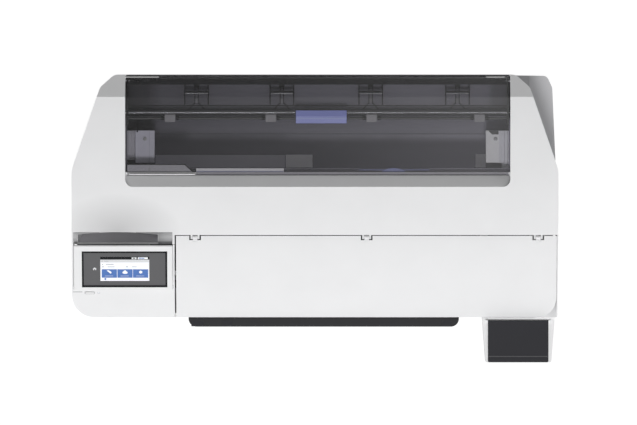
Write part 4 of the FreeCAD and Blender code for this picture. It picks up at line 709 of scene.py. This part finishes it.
# Dark seal under the front edge of the roll cover
seal = softened_block((-375, 86.15, 199.7), (386.5, 87.35, 201.6), 0.2, 2)
dress(seal, "roll_cover_seal", MACHINE_GREY, "case")

gasket = softened_block((-237, 87.4, 199.7), (386, 92.8, 199.9), 0.05, 1)
dress(gasket, "roll_cover_gasket", GUIDE_GREY, "case")

# Black rib behind the small feed rollers, open under the lever: a dark sheet standing in for the shaded lower half
# of the feeder shaft, painted shade
shadow_ribs = [softened_block((low, 207.2, PLATE_TOP), (high, 208.4, 196.6), 0.2, 2)
          for low, high in ((-374.5, -42), (67, 386))]
dress(joined(shadow_ribs), "shaft_shadow_rib", FRAME_BLACK, "case")

# Screws of the roll compartment
screw_seats = []
screws_low, screws_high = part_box("guide_screws")
loose = parts["guide_screws"].data
clusters = {}
for vertex in loose.vertices:
    key = (round(vertex.co.x * 1000 / 30), round(vertex.co.y * 1000 / 30))
    clusters.setdefault(key, []).append(vertex.co)
for spots in clusters.values():
    x = (min(s.x for s in spots) + max(s.x for s in spots)) * 500
    y = (min(s.y for s in spots) + max(s.y for s in spots)) * 500
    screw_seats.append((x, y, min(s.z for s in spots) * 1000))
heads = joined([pan_head(4.0, 1.8, seat) for seat in screw_seats if seat[1] < 250])
rear_heads = joined([pan_head(4.0, 1.8, seat) for seat in screw_seats if seat[1] > 250])
dress(rear_heads, "plate_screw_heads", FRAME_BLACK, "case")
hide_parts("guide_screws")
dress(heads, "guide_screw_heads", DULL_STEEL, "case")

# Hold-down brackets: legs and bar, double stem, arched head, splayed foot and bright pin
BRACKET_STATIONS = (-236, -66, 111, 284)


def arched(middle_x, half, low_y, top_y):
    """The outline of a plate with a round end towards the rear."""
    centre = top_y - half
    turn = [math.radians(a) for a in range(0, 181, 20)]
    return [(middle_x + half, low_y)] + [(middle_x + half * math.cos(a), centre + half * math.sin(a))
                                         for a in turn] + [(middle_x - half, low_y)]


bracket_legs = []
bracket_stems = []
bracket_feet = []
bracket_pins = []
for x in BRACKET_STATIONS:
    for side in (-1, 1):
        bracket_legs.append(softened_block((x + side * 23.4 - 1.1, 227, PLATE_TOP), (x + side * 23.4 + 1.1, 268,
                                           PLATE_TOP + 14), 0.3, 2))
        bracket_stems.append(softened_block((x + side * 3.4 - 0.7, 229, PLATE_TOP), (x + side * 3.4 + 0.7, 267,
                                            PLATE_TOP + 8), 0.3, 2))
        foot = flat_shape([(x + side * 3.0, 231), (x + side * 5.0, 231), (x + side * 16, 219),
                           (x + side * 13.6, 219)], PLATE_TOP, 3)
        bracket_stems.append(foot)
    bracket_legs.append(softened_block((x - 23.4, 251.6, PLATE_TOP + 10), (x + 23.4, 255.4, PLATE_TOP + 13.4),
                                       0.5, 2))
    bracket_stems.append(flat_shape(arched(x, 5.2, 262, 280), PLATE_TOP, 2.4))
    bracket_feet.append(flat_shape([(x - 5, 231), (x + 5, 231), (x + 3, 240), (x - 3, 240)], PLATE_TOP, 2))
    let_go()
    bpy.ops.mesh.primitive_cylinder_add(vertices=24, radius=0.0012, depth=0.0478, rotation=(0, math.pi / 2, 0),
                                        location=(x / 1000, 0.2500, (PLATE_TOP + 12) / 1000))
    pin = settle(bpy.context.object)
    bpy.ops.object.mode_set(mode="EDIT")
    bpy.ops.mesh.select_all(action="SELECT")
    bpy.ops.mesh.bevel(offset=0.0003, segments=2, affect="EDGES")
    bpy.ops.object.mode_set(mode="OBJECT")
    bracket_pins.append(pin)
legs = joined(bracket_legs)
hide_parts("hold_down_brackets")
dress(legs, "bracket_legs", FRAME_BLACK, "case")
dress(joined(bracket_stems), "bracket_stems", FRAME_BLACK, "case")
dress(joined(bracket_feet), "bracket_feet", STEM_GREY, "case")
dress(joined(bracket_pins), "bracket_pins", PIN_STEEL, "case")

# Feeder plate: the dark strip under its rear edge and two creases
strip = tablet((-374.5, 267.6, PLATE_TOP), (386.5, 281.4, PLATE_TOP + 0.5), 0.8, 0.1, 3)
dress(strip, "plate_rear_strip", FRAME_BLACK, "case")
creases = [softened_block((-374.5, y - 0.8, PLATE_TOP), (386.5, y + 0.8, PLATE_TOP + 0.9), 0.2, 2)
           for y in (225.6, 218.6)]
dress(joined(creases), "plate_creases", FRAME_BLACK, "case")

# Dark seal on the rear wall, behind the roll cover
rear_seal = softened_block((-376, -1.3, 0), (387.5, 1.3, 0.5), 0.15, 2)
rear_seal.rotation_euler = (-math.atan(0.83), 0, 0)
rear_seal.location = (0, 0.2857, 0.19155)
dress(settle(rear_seal), "rear_edge_seal", FRAME_BLACK, "case")

# Caps over the small feed rollers, and the dark collars beside them
roller_caps = []
roller_collars = []
for x in (-289, -88, 113, 328):
    roller_caps.append(softened_block((x - 10.5, 206.6, PLATE_TOP), (x + 10.5, 208.6, 198.5), 0.4, 2))
    roller_caps.append(softened_block((x - 10.5, 193.0, 196.2), (x + 10.5, 208.6, 198.5), 0.8, 3))
    for side in (-1, 1):
        roller_caps.append(softened_block((x + side * 9.8 - 0.7, 194.0, 191.9), (x + side * 9.8 + 0.7, 208.6,
                                          198.0), 0.3, 2))
        let_go()
        bpy.ops.mesh.primitive_cylinder_add(vertices=32, radius=0.0038, depth=0.006,
                                            rotation=(0, math.pi / 2, 0),
                                            location=((x + side * 15) / 1000, 0.2005, 0.189))
        collar = settle(bpy.context.object)
        bpy.ops.object.mode_set(mode="EDIT")
        bpy.ops.mesh.select_all(action="SELECT")
        bpy.ops.mesh.bevel(offset=0.0006, segments=3, affect="EDGES")
        bpy.ops.object.mode_set(mode="OBJECT")
        roller_collars.append(collar)
dress(joined(roller_caps), "roller_caps", BOX_GREY, "case")
dress(joined(roller_collars), "roller_collars", FRAME_BLACK, "feeder_rollers")

# Release lever: a lighter bar across it as a painted highlight, and dark trim along its rear and ends as a painted
# shadow line
lever_slope = math.atan2(3.5, 14)
highlight_strip = tablet((-49.5, -1.1, 0.0), (49.5, 1.1, 0.35), 0.5, 0.1, 3)
highlight_strip.rotation_euler = (lever_slope, 0, 0)
highlight_strip.location = (0.0125, 0.2, 0.2020)
dress(settle(highlight_strip), "lever_painted_highlight", LEVER_HIGHLIGHT, "release_lever")
shadow_trims = [softened_block((-39.2, 215.9, 202.2), (64.2, 217.5, 203.6), 0.4, 2)]
for x in (-39.0, 63.2):
    shadow_trims.append(softened_block((x - 0.2, 193, 199), (x + 1.0, 217, 201.2), 0.3, 2))
dress(joined(shadow_trims), "lever_shadow_trim", FRAME_BLACK, "release_lever")


# Roll trough: curved sheets along its round wall, in millimetres
TROUGH_AXIS = (145.0, 160.0)


def curved_sheet(x0, x1, y0, y1, radius, thick):
    """A sheet bent to a radius about the trough's axis, between two depths."""
    let_go()
    bpy.ops.mesh.primitive_grid_add(x_subdivisions=2, y_subdivisions=24, size=1)
    sheet = bpy.context.object
    for vertex in sheet.data.vertices:
        x = x0 + (x1 - x0) * (vertex.co.x + 0.5)
        y = y0 + (y1 - y0) * (vertex.co.y + 0.5)
        drop = math.sqrt(radius ** 2 - (y - TROUGH_AXIS[0]) ** 2)
        vertex.co = (x / 1000, y / 1000, (TROUGH_AXIS[1] - drop) / 1000)
    sheet.data.update()
    body = sheet.modifiers.new("body", "SOLIDIFY")
    body.thickness = thick / 1000
    body.offset = 1
    bpy.ops.object.modifier_apply(modifier="body")
    softening = sheet.modifiers.new("softening", "BEVEL")
    softening.width = 0.0002
    softening.segments = 2
    bpy.ops.object.modifier_apply(modifier="softening")
    return sheet


dress(curved_sheet(-356, 340, 170.4, 203.9, 59.8, 0.8), "trough_rear_sheet", WALL_GREY, "case")
dress(curved_sheet(-340, 340, 168.8, 170.0, 59.8, 1.4), "trough_rear_rib", WALL_GREY, "case")
dim = curved_sheet(-319, -60, 101.6, 127, 59.8, 1.4)
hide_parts("paper_guides")
dress(dim, "guide_sheet_long", GUIDE_DIM, "case")
dress(curved_sheet(-58.6, -5, 101.6, 127.6, 59.8, 2.2), "guide_sheet_short", GUIDE_PALE, "case")
dress(curved_sheet(321, 340.6, 101.6, 129, 59.8, 2.2), "guide_sheet_right", GUIDE_PALE, "case")

# Shelf in front of the roll: a bar with a slanted end, a stepped bar and a blue sensor
SHELF = 190.0
bar = flat_shape([(-374, 89.2), (-239.5, 89.2), (-260, 107.4), (-374, 107.4)], SHELF, 7.0)
dress(bar, "guide_bar", GUIDE_GREY, "case")
rims = [flat_shape([(-374, 107.4), (-260, 107.4), (-259.2, 109.2), (-374, 109.2)], SHELF, 7.6),
        flat_shape([(-260, 107.4), (-239.5, 89.2), (-237.4, 89.2), (-259.2, 109.2)], SHELF, 7.6)]
dress(joined(rims), "guide_bar_rim", FRAME_BLACK, "case")
grip = softened_block((-371, 87.6, 202.4), (-239, 89.6, 203.6), 0.4)
dress(grip, "roll_cover_grip", EDGE_WHITE, "roll_cover")
dress(softened_block((-236.8, 89.6, SHELF), (-62, 100.8, SHELF + 7), 0.6), "guide_step", GUIDE_LIGHT, "case")
dress(softened_block((-236.2, 92.4, SHELF + 6.6), (-62.6, 95.4, SHELF + 7.3), 0.25, 2), "guide_step_inlay",
      GUIDE_LILAC, "case")
dome = [(156.5 + 25 * math.cos(math.radians(a)), 90.4 + 10.6 * math.sin(math.radians(a)))
        for a in range(0, 181, 12)]
dress(flat_shape(dome, SHELF, 6.6), "sensor_dome", SPOT_BLUE, "case")
dress(softened_block((88, 96.6, SHELF), (228, 98.2, SHELF + 5.6), 0.3, 2), "sensor_rail", SPOT_BLUE, "case")

# Side trays beside the roll holders, with ribs on the left and a rounded double rim on the right
left_tray = [softened_block((-375.2, 117, 162), (-358.4, 176, 175), 1.0)]
left_tray += [softened_block((x, 117.5, 174), (x + 1.2, 175.5, 176.4), 0.4, 2) for x in (-372.5, -366, -361)]
dress(joined(left_tray), "left_side_tray", LEFT_TRAY_SHADED, "case")
right_tray = [softened_block((372.4, 100, 162), (386.8, 176, 176.5), 1.0),
              softened_block((366.6, 112.4, 178.0), (372.6, 175.6, 178.8), 0.3, 2)]
dress(joined(right_tray), "right_side_tray", RIGHT_TRAY_LIT, "case")


def rim_line(x0, x1, y0, y1, corner, wide, low, high):
    """A raised round-cornered line open towards the rear and the left, one block after another."""
    pieces = [softened_block((x1 - wide, y0 + corner, low), (x1, y1, high), wide / 4, 2),
              softened_block((x0, y0, low), (x1 - corner, y0 + wide, high), wide / 4, 2)]
    steps = 6
    for step in range(steps):
        a = math.radians(-90 + 90 * (step + 0.5) / steps)
        long = 2 * (corner - wide / 2) * math.tan(math.radians(45 / steps)) + 0.4
        link = softened_block((-long / 2, -wide / 2, low), (long / 2, wide / 2, high), wide / 4, 2)
        link.rotation_euler = (0, 0, a + math.pi / 2)
        link.location = ((x1 - corner + (corner - wide / 2) * math.cos(a)) / 1000,
                         (y0 + corner + (corner - wide / 2) * math.sin(a)) / 1000, 0)
        pieces.append(settle(link))
    return pieces


rim = rim_line(369.5, 384.5, 103, 174, 9, 1.1, 176.3, 177.6) + rim_line(369.5, 378.5, 109, 174, 6, 1.1, 176.3, 177.6)
dress(joined(rim), "right_tray_rim", GUIDE_GREY, "case")
dress(flat_shape([(346, 175.6), (353, 168), (366, 168), (366, 175.6)], 178, 0.6), "right_holder_notch",
      MACHINE_GREY, "case")
dress(softened_block((-355.8, 172.6, 178), (-352.8, 175.6, 178.8), 0.3, 2), "left_holder_stud", FRAME_BLACK,
      "case")
dress(softened_block((-330.6, 113, 178), (-329.8, 175, 178.3), 0.12, 2), "left_holder_seam", LEFT_TRAY_SHADED, "case")

# Raised pads on the output guide
pads = []
for low, high in ((-247.5, -221.5), (-185.6, -165.7), (253.5, 273.4)):
    pads.append(softened_block((low, -215.4, 66.0), (high, -201.5, 69.0), 0.8))
dress(joined(pads), "output_guide_pads", LID_BLACK, "case")

# Floor
let_go()
bpy.ops.mesh.primitive_plane_add(size=80)
floor = bpy.context.object
floor.name = "floor"
ground, ground_shader, ground_place = start_material("pale_floor")
tint(ground, ground_shader, speckle(ground, ground_place, 3, 2), (0.93, 0.93, 0.93), (0.95, 0.95, 0.95))
ground_shader.inputs["Roughness"].default_value = 1.0
ground_shader.inputs["Specular IOR Level"].default_value = 0.0
ground_nodes = ground.node_tree.nodes
ground_ray = ground_nodes.new("ShaderNodeLightPath")
glow = ground_nodes.new("ShaderNodeEmission")
glow.inputs["Strength"].default_value = 1.1
seen_part = ground_nodes.new("ShaderNodeMath")
seen_part.operation = "MULTIPLY"
seen_part.inputs[1].default_value = 0.9
lift = ground_nodes.new("ShaderNodeMixShader")
wire = ground.node_tree.links.new
wire(ground_ray.outputs["Is Camera Ray"], seen_part.inputs[0])
wire(seen_part.outputs[0], lift.inputs["Fac"])
wire(ground_shader.outputs["BSDF"], lift.inputs[1])
wire(glow.outputs[0], lift.inputs[2])
wire(lift.outputs[0], ground_nodes["Material Output"].inputs["Surface"])
floor.data.materials.append(ground)
